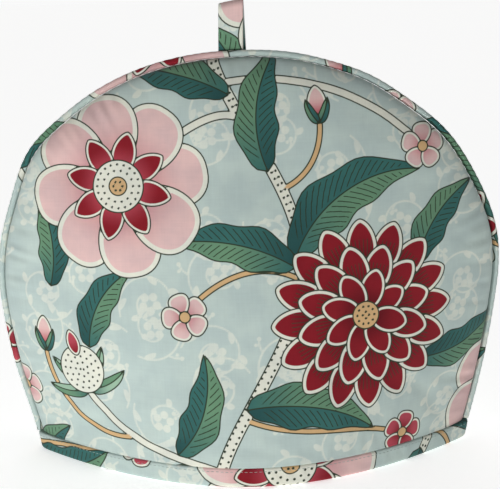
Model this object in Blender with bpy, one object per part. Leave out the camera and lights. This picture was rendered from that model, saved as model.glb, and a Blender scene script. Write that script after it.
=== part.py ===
"""Padded tea cosy: two domed panels, a piped edge, a hem band and a hanging loop.

Units are metres, +Z is up, the front faces -Y and the width runs along X. The origin is at the
centre of the face that the hem band rests on. The arched seam lies in the plane y = 0, and the
hem is pushed open into a pointed oval, so that each panel leans in from the hem to the seam.
"""

import bmesh
import bpy
import numpy as np

MM = 0.001

# Arched outline, measured to the outer edge of the piping
HALF_WIDTH = 170.0 * MM
WIDEST_HEIGHT = 117.7 * MM
ARCH_HEIGHT = 272.8 * MM
ARCH_FULLNESS = 2.15          # 2 is an ellipse, more is squarer
HEM_HALF_CHORD = 148.2 * MM
FLANK_POWER = 1.5             # how the sides draw in from the widest point to the hem

# Uneven places of the arch: around in degrees from +X, spread in degrees, rise in millimetres
WAVE_COLUMNS = ("around", "spread", "rise")
WAVES = (
    (6.0, 10.0, 1.9),
    (24.0, 9.0, -1.0),
    (46.0, 11.0, -2.5),
    (66.0, 9.0, -1.1),
    (149.0, 8.0, 2.5),
    (163.0, 8.0, -1.2),
    (213.0, 8.0, -1.3),
)
WAVE_CENTRE_HEIGHT = 125.0 * MM

# Hem opening, seen from above
HEM_HALF_DEPTH = 82.0 * MM
OPENING_FULLNESS = 1.8        # 2 is a parabola, less has straighter sides
OPENING_ROUNDING = 0.3        # share of the half chord over which the middle is rounded

# Padded wall
WALL = 7.0 * MM
WALL_AT_SEAM = 2.6 * MM
WALL_GROWTH = 7.0 * MM        # distance from the seam over which the wall thickens
PUFF_RISE = 9.0 * MM          # how far the padding swells beside the seam
PUFF_REACH = 17.0 * MM
PUFF_AT_HEM = 0.3             # share of the swelling that is left at the hem
PUFF_FADE_HEIGHT = 90.0 * MM
LEAN_POWER = 1.35             # 1 is a straight slope from hem to seam, more is rounder

# Hem band
BAND_HEIGHT = 12.6 * MM
BAND_THICKNESS = 8.6 * MM
BAND_ROUNDING = 2.6 * MM
BAND_PROUD = 0.5 * MM         # outer face of the band, past the panel above it
BAND_CORNER_SPREAD = 5.0 * MM
BAND_REACH = 148.6 * MM       # from the middle to the band's outer corner, at its foot
BAND_FLARE = 2.0 * MM         # how much further the corner reaches at the band's top

# Piping
PIPING_RADIUS = 2.25 * MM

# Hanging loop
LOOP_CENTRE_X = -7.0 * MM
LOOP_WIDTH = 16.4 * MM
LOOP_CLOTH = 1.5 * MM
LOOP_TOP = 304.6 * MM
LOOP_DRIFT = 2.2 * MM         # the rear leg stands this far to the right of the front leg
LOOP_SLANT = 0.17             # rise of the fold for each unit of width
LOOP_HALF_GAP = 3.9 * MM      # half the depth of the loop at its widest, on the strip's middle
LOOP_PARTED = 0.6             # share of a leg's height over which the legs part

GAP = 0.3 * MM                # between pieces that meet

# Mesh steps
ARCH_STEPS = 48
RAY_STEPS = 15
RAY_CROWDING = 1.9            # 1 spaces the rows evenly, more crowds them towards the seam
HEM_CORE_SHARE = 0.42         # share of the hem that the first row of a panel takes
PIPING_STEPS = 96
BAND_STEPS = 60               # on each side of the hem
BAND_CROWDING = 0.8           # 0 spaces the steps evenly, 1 crowds them at the corners
LOOP_STEPS = 26
LOOP_CROWDING = -0.5          # less than 0 crowds the steps in the fold

# Fine samples from which the curves are drawn
OUTLINE_SAMPLES = 1200
BAND_SAMPLES = 800            # on each side of the hem
BAND_AVERAGE = 60             # samples on each side of a point in the corner's average

# Colours, linear, and the sheen of the cloth
PANEL_COLOUR = (0.53, 0.62, 0.61)
PIPING_COLOUR = (0.60, 0.50, 0.47)
BAND_COLOUR = (0.60, 0.66, 0.64)
LOOP_COLOUR = (0.15, 0.25, 0.24)
CLOTH_ROUGHNESS = 0.85


def spread_evenly(points, count, crowding=0.0):
    """Resample an open run of points by its length; crowding up to 1 draws them to the ends."""
    steps = np.linalg.norm(np.diff(points, axis=0), axis=1)
    run = np.concatenate([[0.0], np.cumsum(steps)])
    share = np.linspace(0.0, 1.0, count)
    share = share - crowding * np.sin(2 * np.pi * share) / (2 * np.pi)
    return np.column_stack([np.interp(share * run[-1], run, column) for column in points.T])


def arch_outline():
    """Outer edge of the arch in the plane y = 0, as x and z, from the right hem to the left."""
    turn = np.linspace(0.0, np.pi / 2, 400)
    crown_x = HALF_WIDTH * np.cos(turn) ** (2 / ARCH_FULLNESS)
    crown_z = WIDEST_HEIGHT + (ARCH_HEIGHT - WIDEST_HEIGHT) * np.sin(turn) ** (2 / ARCH_FULLNESS)
    flank_z = np.linspace(0.0, WIDEST_HEIGHT, 200)[:-1]
    drawn_in = (WIDEST_HEIGHT - flank_z) / WIDEST_HEIGHT
    flank_x = HALF_WIDTH - (HALF_WIDTH - HEM_HALF_CHORD) * drawn_in ** FLANK_POWER
    right_x = np.concatenate([flank_x, crown_x])
    right_z = np.concatenate([flank_z, crown_z])
    x = np.concatenate([right_x, -right_x[-2::-1]])
    z = np.concatenate([right_z, right_z[-2::-1]])
    points = add_waves(np.column_stack([x, z]))
    points[:, 0] -= (points[:, 0].max() + points[:, 0].min()) / 2
    return spread_evenly(points, OUTLINE_SAMPLES)


def add_waves(points):
    """Move points of the arch out or in from its centre by the uneven places."""
    from_centre = points - [0.0, WAVE_CENTRE_HEIGHT]
    reach = np.linalg.norm(from_centre, axis=1)
    around = np.degrees(np.arctan2(from_centre[:, 1], from_centre[:, 0]))
    around = np.where(around < -90.0, around + 360.0, around)
    rise = np.zeros(len(points))
    for row in WAVES:
        wave = dict(zip(WAVE_COLUMNS, row))
        rise += wave["rise"] * MM * np.exp(-((around - wave["around"]) / wave["spread"]) ** 2)
    scale = (1.0 + rise / reach)[:, None]
    return [0.0, WAVE_CENTRE_HEIGHT] + from_centre * scale


def inset(points, distance):
    """Move an open run of points to its left, which is inward on the arch."""
    along = np.gradient(points, axis=0)
    along /= np.linalg.norm(along, axis=1)[:, None]
    return points + distance * np.column_stack([-along[:, 1], along[:, 0]])


def cut_below(points, height):
    """Drop the ends of a run of x, z points that lie below a height, and end it there."""
    middle = len(points) // 2
    right = points[:middle + 1]
    left = points[middle:][::-1]
    runs = []
    for side in (right, left):
        kept = side[side[:, 1] > height]
        foot = [np.interp(height, side[:, 1], side[:, 0]), height]
        runs.append(np.vstack([foot, kept]))
    return np.vstack([runs[0], runs[1][::-1][1:]])


def half_chord(seam, height, side):
    """Distance from the middle to the seam at a height, on the side +1 or -1."""
    middle = len(seam) // 2
    run = seam[:middle + 1] if side > 0 else seam[middle:][::-1]
    return np.interp(height, run[:, 1], side * run[:, 0])


def opening_bow(share):
    """How far the hem bows out, 1 in the middle and 0 at the corners, and its slope.

    One minus the root of the squared share and a small rounding, to the opening's power.
    """
    least = OPENING_ROUNDING ** OPENING_FULLNESS
    most = (1.0 + OPENING_ROUNDING ** 2) ** (OPENING_FULLNESS / 2)
    rounded = share ** 2 + OPENING_ROUNDING ** 2
    bow = 1.0 - (rounded ** (OPENING_FULLNESS / 2) - least) / (most - least)
    slope = OPENING_FULLNESS * share * rounded ** (OPENING_FULLNESS / 2 - 1) / (most - least)
    return bow, slope


def middle_depth(z, top):
    """Depth of the panel's outer face on its middle line, from the hem to the seam's top."""
    least = GAP / 2 + WALL_AT_SEAM + PUFF_RISE
    lean = 1.0 - np.clip(z / top, 0.0, 1.0) ** LEAN_POWER
    return least + (HEM_HALF_DEPTH - BAND_PROUD - least) * lean


def panel_depths(x, z, from_seam, seam):
    """Depth of the panel's outer and inner face from the seam's plane.

    The middle of the panel leans in from the hem's half depth to the top of the swelling
    beside the seam, which is a quarter ellipse. What lies past the swelling is a lens, its
    depth times the opening's bow.
    """
    top = seam[:, 1].max()
    chord = np.where(x >= 0, half_chord(seam, z, 1), half_chord(seam, z, -1))
    share = np.clip(np.abs(x) / np.maximum(chord, 1e-6), 0.0, 1.0)
    up = np.clip(z / PUFF_FADE_HEIGHT, 0.0, 1.0)
    grown = PUFF_AT_HEM + (1 - PUFF_AT_HEM) * up * up * (3.0 - 2.0 * up)
    edge = np.clip(from_seam / PUFF_REACH, 0.0, 1.0)
    puff = PUFF_RISE * grown * np.sqrt(1.0 - (1.0 - edge) ** 2)
    seam_face = GAP / 2 + WALL_AT_SEAM
    lens_depth = middle_depth(z, top) - seam_face - PUFF_RISE * grown
    bow, bow_slope = opening_bow(share)
    outer = seam_face + lens_depth * bow + puff
    slope = lens_depth * bow_slope / np.maximum(chord, HALF_WIDTH / 4)
    thick = WALL - (WALL - WALL_AT_SEAM) * np.exp(-from_seam / WALL_GROWTH)
    inner = outer - thick * np.sqrt(1.0 + slope ** 2)
    return outer, np.maximum(inner, GAP / 2)


def panel_grid(seam, foot):
    """Grid of x, z from the middle of the hem (first row) out to the seam (last row)."""
    rim = spread_evenly(cut_below(seam, foot), ARCH_STEPS + 1)
    hem_x = HEM_CORE_SHARE * np.linspace(rim[0, 0], rim[-1, 0], ARCH_STEPS + 1)
    start = np.column_stack([hem_x, np.full(ARCH_STEPS + 1, foot)])
    out = np.linspace(0.0, 1.0, RAY_STEPS + 1)
    out = 1.0 - (1.0 - out) ** RAY_CROWDING
    grid = start[None] + out[:, None, None] * (rim - start)[None]
    along = np.gradient(rim, axis=0)
    along /= np.linalg.norm(along, axis=1)[:, None]
    inward = np.column_stack([-along[:, 1], along[:, 0]])
    from_seam = np.einsum("rij,ij->ri", grid - rim[None], inward)
    return grid, np.maximum(from_seam, 0.0)


def closed_from_sheets(outer, inner):
    """Vertices and faces of the wall between two grids of points with the same shape."""
    rows, columns = outer.shape[:2]
    size = rows * columns
    index = np.arange(size).reshape(rows, columns)
    quads = np.stack([index[:-1, :-1], index[:-1, 1:], index[1:, 1:], index[1:, :-1]], -1)
    quads = quads.reshape(-1, 4)
    border = np.concatenate([index[0, :-1], index[:-1, -1], index[-1, :0:-1], index[:0:-1, 0]])
    onward = np.roll(border, -1)
    walls = np.stack([border, border + size, onward + size, onward], -1)
    faces = np.concatenate([quads, quads[:, ::-1] + size, walls])
    return np.concatenate([outer.reshape(-1, 3), inner.reshape(-1, 3)]), faces


def add_object(name, points, faces, colour, collection):
    """Make a smooth-shaded object whose faces point out, with its own material."""
    mesh = bpy.data.meshes.new(name)
    mesh.from_pydata(points.tolist(), [], faces.tolist())
    body = bmesh.new()
    body.from_mesh(mesh)
    bmesh.ops.recalc_face_normals(body, faces=body.faces)
    body.to_mesh(mesh)
    body.free()
    mesh.shade_smooth()
    mesh.set_sharp_from_angle(angle=np.radians(50.0))
    mesh.materials.append(cloth_material(name + "_cloth", colour))
    piece = bpy.data.objects.new(name, mesh)
    collection.objects.link(piece)
    return piece


def cloth_material(name, colour):
    material = bpy.data.materials.new(name)
    material.use_nodes = True
    shader = material.node_tree.nodes["Principled BSDF"]
    shader.inputs["Base Color"].default_value = (*colour, 1.0)
    shader.inputs["Roughness"].default_value = CLOTH_ROUGHNESS
    shader.inputs["Metallic"].default_value = 0.0
    material.diffuse_color = (*colour, 1.0)
    return material


def add_panel(name, facing, seam, collection):
    """One padded panel; facing is -1 for the front and +1 for the back."""
    grid, from_seam = panel_grid(seam, BAND_HEIGHT + GAP)
    outer, inner = panel_depths(grid[..., 0], grid[..., 1], from_seam, seam)
    sheets = [np.stack([grid[..., 0], facing * y, grid[..., 1]], -1) for y in (outer, inner)]
    points, faces = closed_from_sheets(*sheets)
    return add_object(name, points, faces, PANEL_COLOUR, collection)


def add_piping(outline, collection):
    """Round cord on the arch, from just above the hem band on one side to the other."""
    middle = cut_below(inset(outline, PIPING_RADIUS), BAND_HEIGHT + 3 * GAP)
    route = spread_evenly(middle, PIPING_STEPS + 1)
    data = bpy.data.curves.new("edge_piping", "CURVE")
    data.dimensions = "3D"
    spline = data.splines.new("POLY")
    spline.points.add(len(route) - 1)
    for point, (x, z) in zip(spline.points, route):
        point.co = (x, 0.0, z, 1.0)
    data.bevel_depth = PIPING_RADIUS
    data.bevel_resolution = 3
    data.use_fill_caps = True
    data.materials.append(cloth_material("edge_piping_cloth", PIPING_COLOUR))
    piece = bpy.data.objects.new("edge_piping", data)
    collection.objects.link(piece)
    return piece


def band_plan(reach, half_depth):
    """Closed middle line of the hem band seen from above, as x and y.

    Two bows that meet at the corners, with the corners smoothed by a bell-shaped average, and
    drawn out again to the reach.
    """
    share = np.linspace(1.0, -1.0, BAND_SAMPLES + 1)
    bow = opening_bow(np.abs(share))[0]
    front = np.column_stack([reach * share, -(half_depth - BAND_THICKNESS / 2) * bow])
    closed = np.vstack([front, -front[1:-1], front[:1]])
    even = spread_evenly(closed, 2 * BAND_SAMPLES + 1)[:-1]
    offsets = np.arange(-BAND_AVERAGE, BAND_AVERAGE + 1)
    weight = np.exp(-(offsets * np.linalg.norm(even[1] - even[0]) / BAND_CORNER_SPREAD) ** 2)
    weight /= weight.sum()
    rounded = sum(w * np.roll(even, offset, axis=0) for w, offset in zip(weight, offsets))
    rounded[:, 0] *= (reach - BAND_THICKNESS / 2) / rounded[:, 0].max()
    halves = []
    for start in (0, BAND_SAMPLES):
        run = np.roll(rounded, -start, axis=0)[:BAND_SAMPLES + 1]
        halves.append(spread_evenly(run, BAND_STEPS + 1, BAND_CROWDING)[:-1])
    return np.vstack(halves)


def band_section():
    """Rounded upright oblong, flat below: distance out from the middle line, and height."""
    half = BAND_THICKNESS / 2
    r = BAND_ROUNDING
    corners = (
        (half - r, r, -90.0),
        (half - r, BAND_HEIGHT - r, 0.0),
        (r - half, BAND_HEIGHT - r, 90.0),
        (r - half, r, 180.0),
    )
    points = []
    for out, height, start in corners:
        for turn in np.radians(start + np.array([0.0, 45.0, 90.0])):
            points.append((out + r * np.cos(turn), height + r * np.sin(turn)))
    return np.array(points)


def add_hem_band(seam_top, collection):
    """The section carried round a plan line that leans with the panels as it rises."""
    low = band_plan(BAND_REACH, HEM_HALF_DEPTH)
    high_depth = middle_depth(BAND_HEIGHT, seam_top) + BAND_PROUD
    high = band_plan(BAND_REACH + BAND_FLARE, high_depth)
    section = band_section()
    along = np.roll(low, -1, axis=0) - np.roll(low, 1, axis=0)
    along /= np.linalg.norm(along, axis=1)[:, None]
    outward = np.column_stack([along[:, 1], -along[:, 0]])
    risen = section[None, :, 1, None] / BAND_HEIGHT
    plan = low[:, None, :] + risen * (high - low)[:, None, :]
    flat = plan + section[None, :, 0, None] * outward[:, None, :]
    height = np.broadcast_to(section[None, :, 1, None], (*flat.shape[:2], 1))
    ring = np.concatenate([flat, height], -1)
    index = np.arange(ring.shape[0] * ring.shape[1]).reshape(ring.shape[:2])
    onward = np.roll(index, -1, axis=0)
    faces = np.stack([index, onward, np.roll(onward, -1, axis=1), np.roll(index, -1, axis=1)], -1)
    faces = faces.reshape(-1, 4)
    return add_object("hem_band", ring.reshape(-1, 3), faces, BAND_COLOUR, collection)


def loop_route(base_height, front_y):
    """Middle line of the loop's strip as y and z, up the front leg and down the rear one.

    The legs part as a sine from the seam up to the fold, which is a half circle.
    """
    rear_y = front_y + LOOP_CLOTH + GAP
    middle_y = (front_y + rear_y) / 2
    fold_height = LOOP_TOP - LOOP_CLOTH / 2 - LOOP_HALF_GAP
    rise = np.linspace(0.0, 1.0, 120)
    leg_z = base_height + (fold_height - base_height) * rise
    parting = np.sin(np.pi / 2 * np.clip(rise / LOOP_PARTED, 0.0, 1.0)) ** 1.4
    spread = (rear_y - front_y) / 2 + (LOOP_HALF_GAP - (rear_y - front_y) / 2) * parting
    turn = np.linspace(np.pi, 0.0, 60)[1:-1]
    fold = np.column_stack([
        middle_y + LOOP_HALF_GAP * np.cos(turn),
        fold_height + LOOP_HALF_GAP * np.sin(turn),
    ])
    front = np.column_stack([middle_y - spread, leg_z])
    rear = np.column_stack([middle_y + spread, leg_z])[::-1]
    return spread_evenly(np.vstack([front, fold, rear]), LOOP_STEPS + 1, LOOP_CROWDING)


def add_loop(seam_top, collection):
    """Folded strip that stands behind the piping, its rear leg a little to the right."""
    front_y = PIPING_RADIUS + GAP + LOOP_CLOTH / 2
    route = loop_route(seam_top + 2 * GAP, front_y)
    along = np.gradient(route, axis=0)
    along /= np.linalg.norm(along, axis=1)[:, None]
    across = np.column_stack([-along[:, 1], along[:, 0]])
    share = np.linspace(0.0, 1.0, len(route))
    middle_x = LOOP_CENTRE_X + LOOP_DRIFT * (share - 0.5)
    risen = np.clip((route[:, 1] - seam_top) / (LOOP_TOP - seam_top), 0.0, 1.0)
    sheets = []
    for side in (1, -1):
        line = route + side * LOOP_CLOTH / 2 * across
        edges = []
        for half in (-LOOP_WIDTH / 2, 0.0, LOOP_WIDTH / 2):
            lift = LOOP_SLANT * half * risen
            edges.append(np.column_stack([middle_x + half, line[:, 0], line[:, 1] + lift]))
        sheets.append(np.stack(edges))
    points, faces = closed_from_sheets(*sheets)
    return add_object("hanging_loop", points, faces, LOOP_COLOUR, collection)


def build():
    for old in list(bpy.data.objects):
        bpy.data.objects.remove(old, do_unlink=True)
    collection = bpy.data.collections.new("tea_cosy")
    bpy.context.scene.collection.children.link(collection)
    outline = arch_outline()
    seam = inset(outline, 2 * PIPING_RADIUS + GAP)
    add_panel("front_panel", -1, seam, collection)
    add_panel("back_panel", 1, seam, collection)
    add_piping(outline, collection)
    seam_top = seam[:, 1].max()
    add_hem_band(seam_top, collection)
    add_loop(seam_top, collection)


build()
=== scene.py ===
import bpy
import numpy as np
from mathutils import Matrix, Vector


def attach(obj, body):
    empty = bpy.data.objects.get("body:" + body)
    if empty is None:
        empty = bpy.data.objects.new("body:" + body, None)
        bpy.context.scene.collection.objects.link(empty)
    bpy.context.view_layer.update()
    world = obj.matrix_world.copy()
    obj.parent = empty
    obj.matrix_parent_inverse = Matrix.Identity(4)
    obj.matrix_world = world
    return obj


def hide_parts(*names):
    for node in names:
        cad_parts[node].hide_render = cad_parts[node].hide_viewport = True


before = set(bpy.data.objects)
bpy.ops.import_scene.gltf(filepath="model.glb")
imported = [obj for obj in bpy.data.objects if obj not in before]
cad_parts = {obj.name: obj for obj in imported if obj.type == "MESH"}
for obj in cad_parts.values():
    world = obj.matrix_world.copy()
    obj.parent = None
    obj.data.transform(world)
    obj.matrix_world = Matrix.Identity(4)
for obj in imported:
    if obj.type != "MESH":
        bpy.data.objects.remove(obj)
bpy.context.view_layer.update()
print("frame loaded:", sorted(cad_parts))


def hexToLinear(code):
    # sRGB hex to the linear colour that a shader takes: a dark channel over 12.92, and any other
    # plus 0.055, over 1.055, to the power 2.4
    channels = np.array([int(code[k:k + 2], 16) / 255 for k in (0, 2, 4)])
    return np.where(channels <= 0.04045, channels / 12.92, ((channels + 0.055) / 1.055) ** 2.4)


def mix(low, high, share):
    # low, and the share of the way from it to high
    return low + (high - low) * share


def smooth(x):
    # 0 below 0, 1 above 1, and between them three x squared less two x cubed
    x = np.clip(x, 0.0, 1.0)
    return x * x * (3.0 - 2.0 * x)


def lengthAlong(run):
    # how far along an open run each of its points lies: its steps added up
    return np.concatenate([[0.0], np.cumsum(np.linalg.norm(np.diff(run, axis=0), axis=1))])


def spreadEvenly(points, count):
    # an open run of points again, at even steps of its length
    run = lengthAlong(points)
    share = np.linspace(0.0, 1.0, count)
    return np.column_stack([np.interp(share * run[-1], run, column) for column in points.T])


def leftOf(run):
    # arrows of length 1 to the left of an open run: its slope, turned a quarter
    along = np.gradient(run, axis=0)
    along /= np.linalg.norm(along, axis=1)[:, None]
    return np.column_stack([-along[:, 1], along[:, 0]])


# The printed cotton is drawn flat in millimetres as distances to its shapes, less than 0 inside
# them. Each piece keeps the distances at its own places, and the material turns them to dyes.
# An edge belongs to an outlined shape, and a core is flat colour inside one.
clothPrint = {
    "repeatAcross": 290.0,
    "repeatUp": 330.0,       # each column of the repeat drops by half of this
    "screens": 6,            # sets of outlined shapes; shapes that touch are in different sets
    "lineWidth": 0.85,       # the dark key line round each shape
    "veinWidth": 0.62,
    "far": 60.0,             # stands for no shape near
    "past": 4.0,             # how far past a shape its distance is worked out
    "veinPast": 3.0,
}
dye = {
    "ground": hexToLinear("c2d2cc"),
    "sprig": hexToLinear("e3e7da"),
    "line": hexToLinear("333d2e"),
    "cream": hexToLinear("e9e9da"),
    "red": hexToLinear("8c1c27"),
    "deepRed": hexToLinear("64121c"),
    "rose": hexToLinear("ba4c59"),
    "pink": hexToLinear("e6c3bf"),
    "dustyPink": hexToLinear("cf9092"),
    "teal": hexToLinear("3a6d68"),
    "deepTeal": hexToLinear("28504f"),
    "green": hexToLinear("6c9475"),
    "paleGreen": hexToLinear("9dbca3"),
    "tan": hexToLinear("d9b483"),
}


def newSheet(u, v):
    # undyed cloth at places u across and v up: every distance is far, and no colour counts yet
    count = u.size
    far = clothPrint["far"]
    sheet = {name: np.full(count, far) for name in ("core", "vein", "veinArea", "dot", "sprig")}
    sheet["u"] = u
    sheet["v"] = v
    sheet["edge"] = np.full((clothPrint["screens"], count), far)
    sheet["tone"] = np.tile(dye["cream"], (clothPrint["screens"], count, 1))
    sheet["coreTone"] = np.tile(dye["red"], (count, 1))
    return sheet


def placesNear(sheet, x, y, reach):
    # the sheet's points within reach of a motif's nearest copy, and where they lie from its
    # middle: the offset less the nearest whole number of repeats
    across = sheet["u"] - x
    up = sheet["v"] - y
    column = np.round(across / clothPrint["repeatAcross"])
    across = across - column * clothPrint["repeatAcross"]
    up = up - column * clothPrint["repeatUp"] / 2
    up = up - np.round(up / clothPrint["repeatUp"]) * clothPrint["repeatUp"]
    at = np.flatnonzero((np.abs(across) < reach) & (np.abs(up) < reach))
    return at, np.column_stack([across[at], up[at]])


def ringDistance(points, ring):
    # signed distance to a closed ring, less than 0 inside: the least distance to its sides,
    # with the sign from how often a level line to the right crosses them
    onward = np.roll(ring, -1, axis=0) - ring
    away = points[:, None, :] - ring[None]
    share = np.clip((away * onward).sum(-1) / np.maximum((onward ** 2).sum(-1), 1e-9), 0.0, 1.0)
    gap = away - share[..., None] * onward
    least = np.sqrt((gap ** 2).sum(-1).min(1))
    above = away[..., 1] >= 0.0
    aboveNext = (away - onward)[..., 1] >= 0.0
    slope = onward[:, 0] / np.where(np.abs(onward[:, 1]) < 1e-9, 1e-9, onward[:, 1])
    crossed = (above != aboveNext) & (away[..., 0] < away[..., 1] * slope)
    return np.where(crossed.sum(1) % 2 == 1, -least, least)


def placeOnRun(points, run):
    # distance to an open run of points, and how far along it the nearest place is, 0 to 1
    start = run[:-1]
    onward = run[1:] - start
    away = points[:, None, :] - start[None]
    share = np.clip((away * onward).sum(-1) / np.maximum((onward ** 2).sum(-1), 1e-9), 0.0, 1.0)
    gap = np.sqrt(((away - share[..., None] * onward) ** 2).sum(-1))
    side = gap.argmin(1)
    row = np.arange(len(points))
    return gap[row, side], (side + share[row, side]) / len(start)


def layShape(sheet, at, distance, screen, tone):
    # a shape cuts back all that lies below it to its own edge, the greater of their distance and
    # less its own, then joins its screen, the lesser of both
    for k in range(clothPrint["screens"]):
        if k != screen:
            sheet["edge"][k, at] = np.maximum(sheet["edge"][k, at], -distance)
    nearer = distance < sheet["edge"][screen, at]
    sheet["tone"][screen, at[nearer]] = (tone * np.ones((len(at), 3)))[nearer]
    sheet["edge"][screen, at] = np.minimum(sheet["edge"][screen, at], distance)
    for name in ("core", "veinArea", "dot"):
        sheet[name][at] = np.maximum(sheet[name][at], -distance)


def layCore(sheet, at, distance, tone):
    # flat colour inside a shape: the lesser of its distance and what is there
    nearer = distance < sheet["core"][at]
    sheet["coreTone"][at[nearer]] = tone[nearer]
    sheet["core"][at] = np.minimum(sheet["core"][at], distance)


def layVeins(sheet, at, area, value):
    # value crosses 0 at each vein; it is kept a little past the area so that nothing jumps there
    inside = (area < clothPrint["veinPast"]) & (area < sheet["veinArea"][at])
    sheet["vein"][at[inside]] = value[inside]
    sheet["veinArea"][at] = np.minimum(sheet["veinArea"][at], area)


def layDots(sheet, at, points, centres, radius):
    # round dots: the least distance to a centre, less the radius
    gap = np.sqrt(((points[:, None, :] - np.asarray(centres)[None]) ** 2).sum(-1)).min(1) - radius
    sheet["dot"][at] = np.minimum(sheet["dot"][at], gap)


def zigzag(turns):
    # a straight-sided wave between -1 and 1 that crosses 0 once each turn
    return 2.0 * np.abs(np.mod(turns, 2.0) - 1.0) - 1.0


def arcRun(length, heading, bend, count=22):
    # a run that starts at 0 and turns evenly by bend degrees about its heading
    share = (np.arange(count) + 0.5) / count
    angle = np.radians(heading + bend * (share - 0.5))
    steps = np.column_stack([np.cos(angle), np.sin(angle)]) * length / count
    return np.vstack([[0.0, 0.0], np.cumsum(steps, axis=0)])


def bezier(points, count=26):
    # a cubic curve from its four control points
    t = np.linspace(0.0, 1.0, count)[:, None]
    a, b, c, d = (np.array(p, float) for p in points)
    return a * (1 - t) ** 3 + 3 * b * t * (1 - t) ** 2 + 3 * c * t * t * (1 - t) + d * t ** 3


def sidesOf(run, halfWidth):
    # the two sides of a strip: its run, moved to the left and to the right by half its width
    left = leftOf(run) * halfWidth[:, None]
    return run + left, run - left


def bladeWidth(share, foot, tip):
    # the share to the power foot times what is left of it to the power tip, with 1 at its fullest
    width = share ** foot * (1.0 - share) ** tip
    peak = foot / (foot + tip)
    return width / (peak ** foot * (1.0 - peak) ** tip)


# leaves, in millimetres
leafShape = {
    "foot": 0.62,            # powers of the blade's width at its two ends
    "tip": 0.95,
    "waviness": 0.10,
    "shade": (1.6, 0.1),     # how fast the deep dye of the foot gives way, and its start
    "veinPitch": 5.2,        # along the spine
    "veinSlant": 1.15,       # how far a vein runs on for each millimetre out
    "veinLean": 0.66,        # turns a length along the spine to one square to the veins
    "veinMargin": 1.9,       # bare of veins beside the edge
    "bareFoot": 0.12,        # share of the length with no veins
    "footFade": 8.0,         # how sharply the veins begin there
    "narrowest": 12.0,       # of the leaves that have veins
}


def drawLeaf(sheet, x, y, heading, bend, length, width, tones=("teal", "green"), waves=3):
    # two halves that share the spine, each a blade's width to its side with a slow wave, in its
    # own dye, with veins where the place along less the slanted place out is a whole pitch
    run = arcRun(length, heading, bend)
    middle = run[len(run) // 2]
    share = np.linspace(0.0, 1.0, len(run))
    half = width / 2 * bladeWidth(share, leafShape["foot"], leafShape["tip"])
    half = half * (1.0 + leafShape["waviness"] * np.cos(2 * np.pi * waves * share))
    spine = run - middle
    left, right = sidesOf(spine, half)
    at, points = placesNear(sheet, x + middle[0], y + middle[1], length / 2 + width)
    off, onRun = placeOnRun(points, spine)
    rate, start = leafShape["shade"]
    pitch = leafShape["veinPitch"]
    for side, screen, name in ((left, 4, tones[0]), (right, 5, tones[1])):
        distance = ringDistance(points, np.vstack([spine, side[-2:0:-1]]))
        deep = dye["deepTeal"] if name == "teal" else dye["teal"]
        tone = mix(deep, dye[name], smooth(onRun * rate + start)[:, None])
        layShape(sheet, at, distance, screen, tone)
        if width > leafShape["narrowest"]:
            turns = (onRun * length - leafShape["veinSlant"] * off) / pitch
            bare = leafShape["footFade"] * (leafShape["bareFoot"] - onRun)
            area = np.maximum(distance + leafShape["veinMargin"], bare)
            layVeins(sheet, at, area, zigzag(turns) * pitch / 2 * leafShape["veinLean"])


# stems, twigs and branches, in millimetres
stem = {
    "width": 7.6,
    "branchWidth": 5.0,
    "twigWidth": 3.4,
    "dotPitch": 4.4,
    "dotRow": 1.9,           # from the stem's middle to each of its two rows of dots
    "dotStagger": 2.2,
    "sway": 30.0,            # how far the main stem swings to each side
    "swayMiddle": 4.0,
    "swayStart": 62.0,
    "overrun": 8.0,          # how far it runs on past the repeat at both ends
    "steps": 69,
}
dotRadius = 0.95


def drawStem(sheet, run, width, tone="cream", dotted=False):
    # a strip of even width along a run, with two staggered rows of dots on the main stem
    screen = 2
    middle = run.mean(0)
    reach = np.abs(run - middle).max() + width
    at, points = placesNear(sheet, middle[0], middle[1], reach)
    half = np.full(len(run), width / 2)
    left, right = sidesOf(run - middle, half)
    ring = np.vstack([left, right[::-1]])
    past = clothPrint["past"]
    close = (points > ring.min(0) - past).all(1) & (points < ring.max(0) + past).all(1)
    at = at[close]
    points = points[close]
    layShape(sheet, at, ringDistance(points, ring), screen, dye[tone])
    if not dotted:
        return
    count = int(np.linalg.norm(np.diff(run, axis=0), axis=1).sum() / stem["dotPitch"])
    for hand in (-1, 1):
        row = sidesOf(run - middle, np.full(len(run), hand * stem["dotRow"]))[0]
        spots = spreadEvenly(row, count) + (hand > 0) * np.array([0.0, stem["dotStagger"]])
        layDots(sheet, at, points, spots[1:-1], dotRadius)


# what a ring of petals has where it says nothing else, in millimetres
petal = {
    "screens": (0, 1),       # used in turn
    "spare": 3,              # the last petal's screen where their number is odd
    "edge": "cream",
    "foot": 0.6,
    "tip": 0.7,
    "shade": (1.5, -0.1),    # how fast the deep dye of the middle gives way, and its start
    "streaks": 0,            # the pitch of fine streaks on the core, 0 for none
    "streakMargin": 0.8,
    "streakEnd": 0.62,       # share of the petal's length that they reach
    "streakFade": 20.0,      # how sharply they end there
    "streakFoot": 0.25,      # share of the ring's radius within which they stay as far apart
    "around": 12.0,          # how far past a petal's ends it is worked out
    "steps": 22,
}


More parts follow.
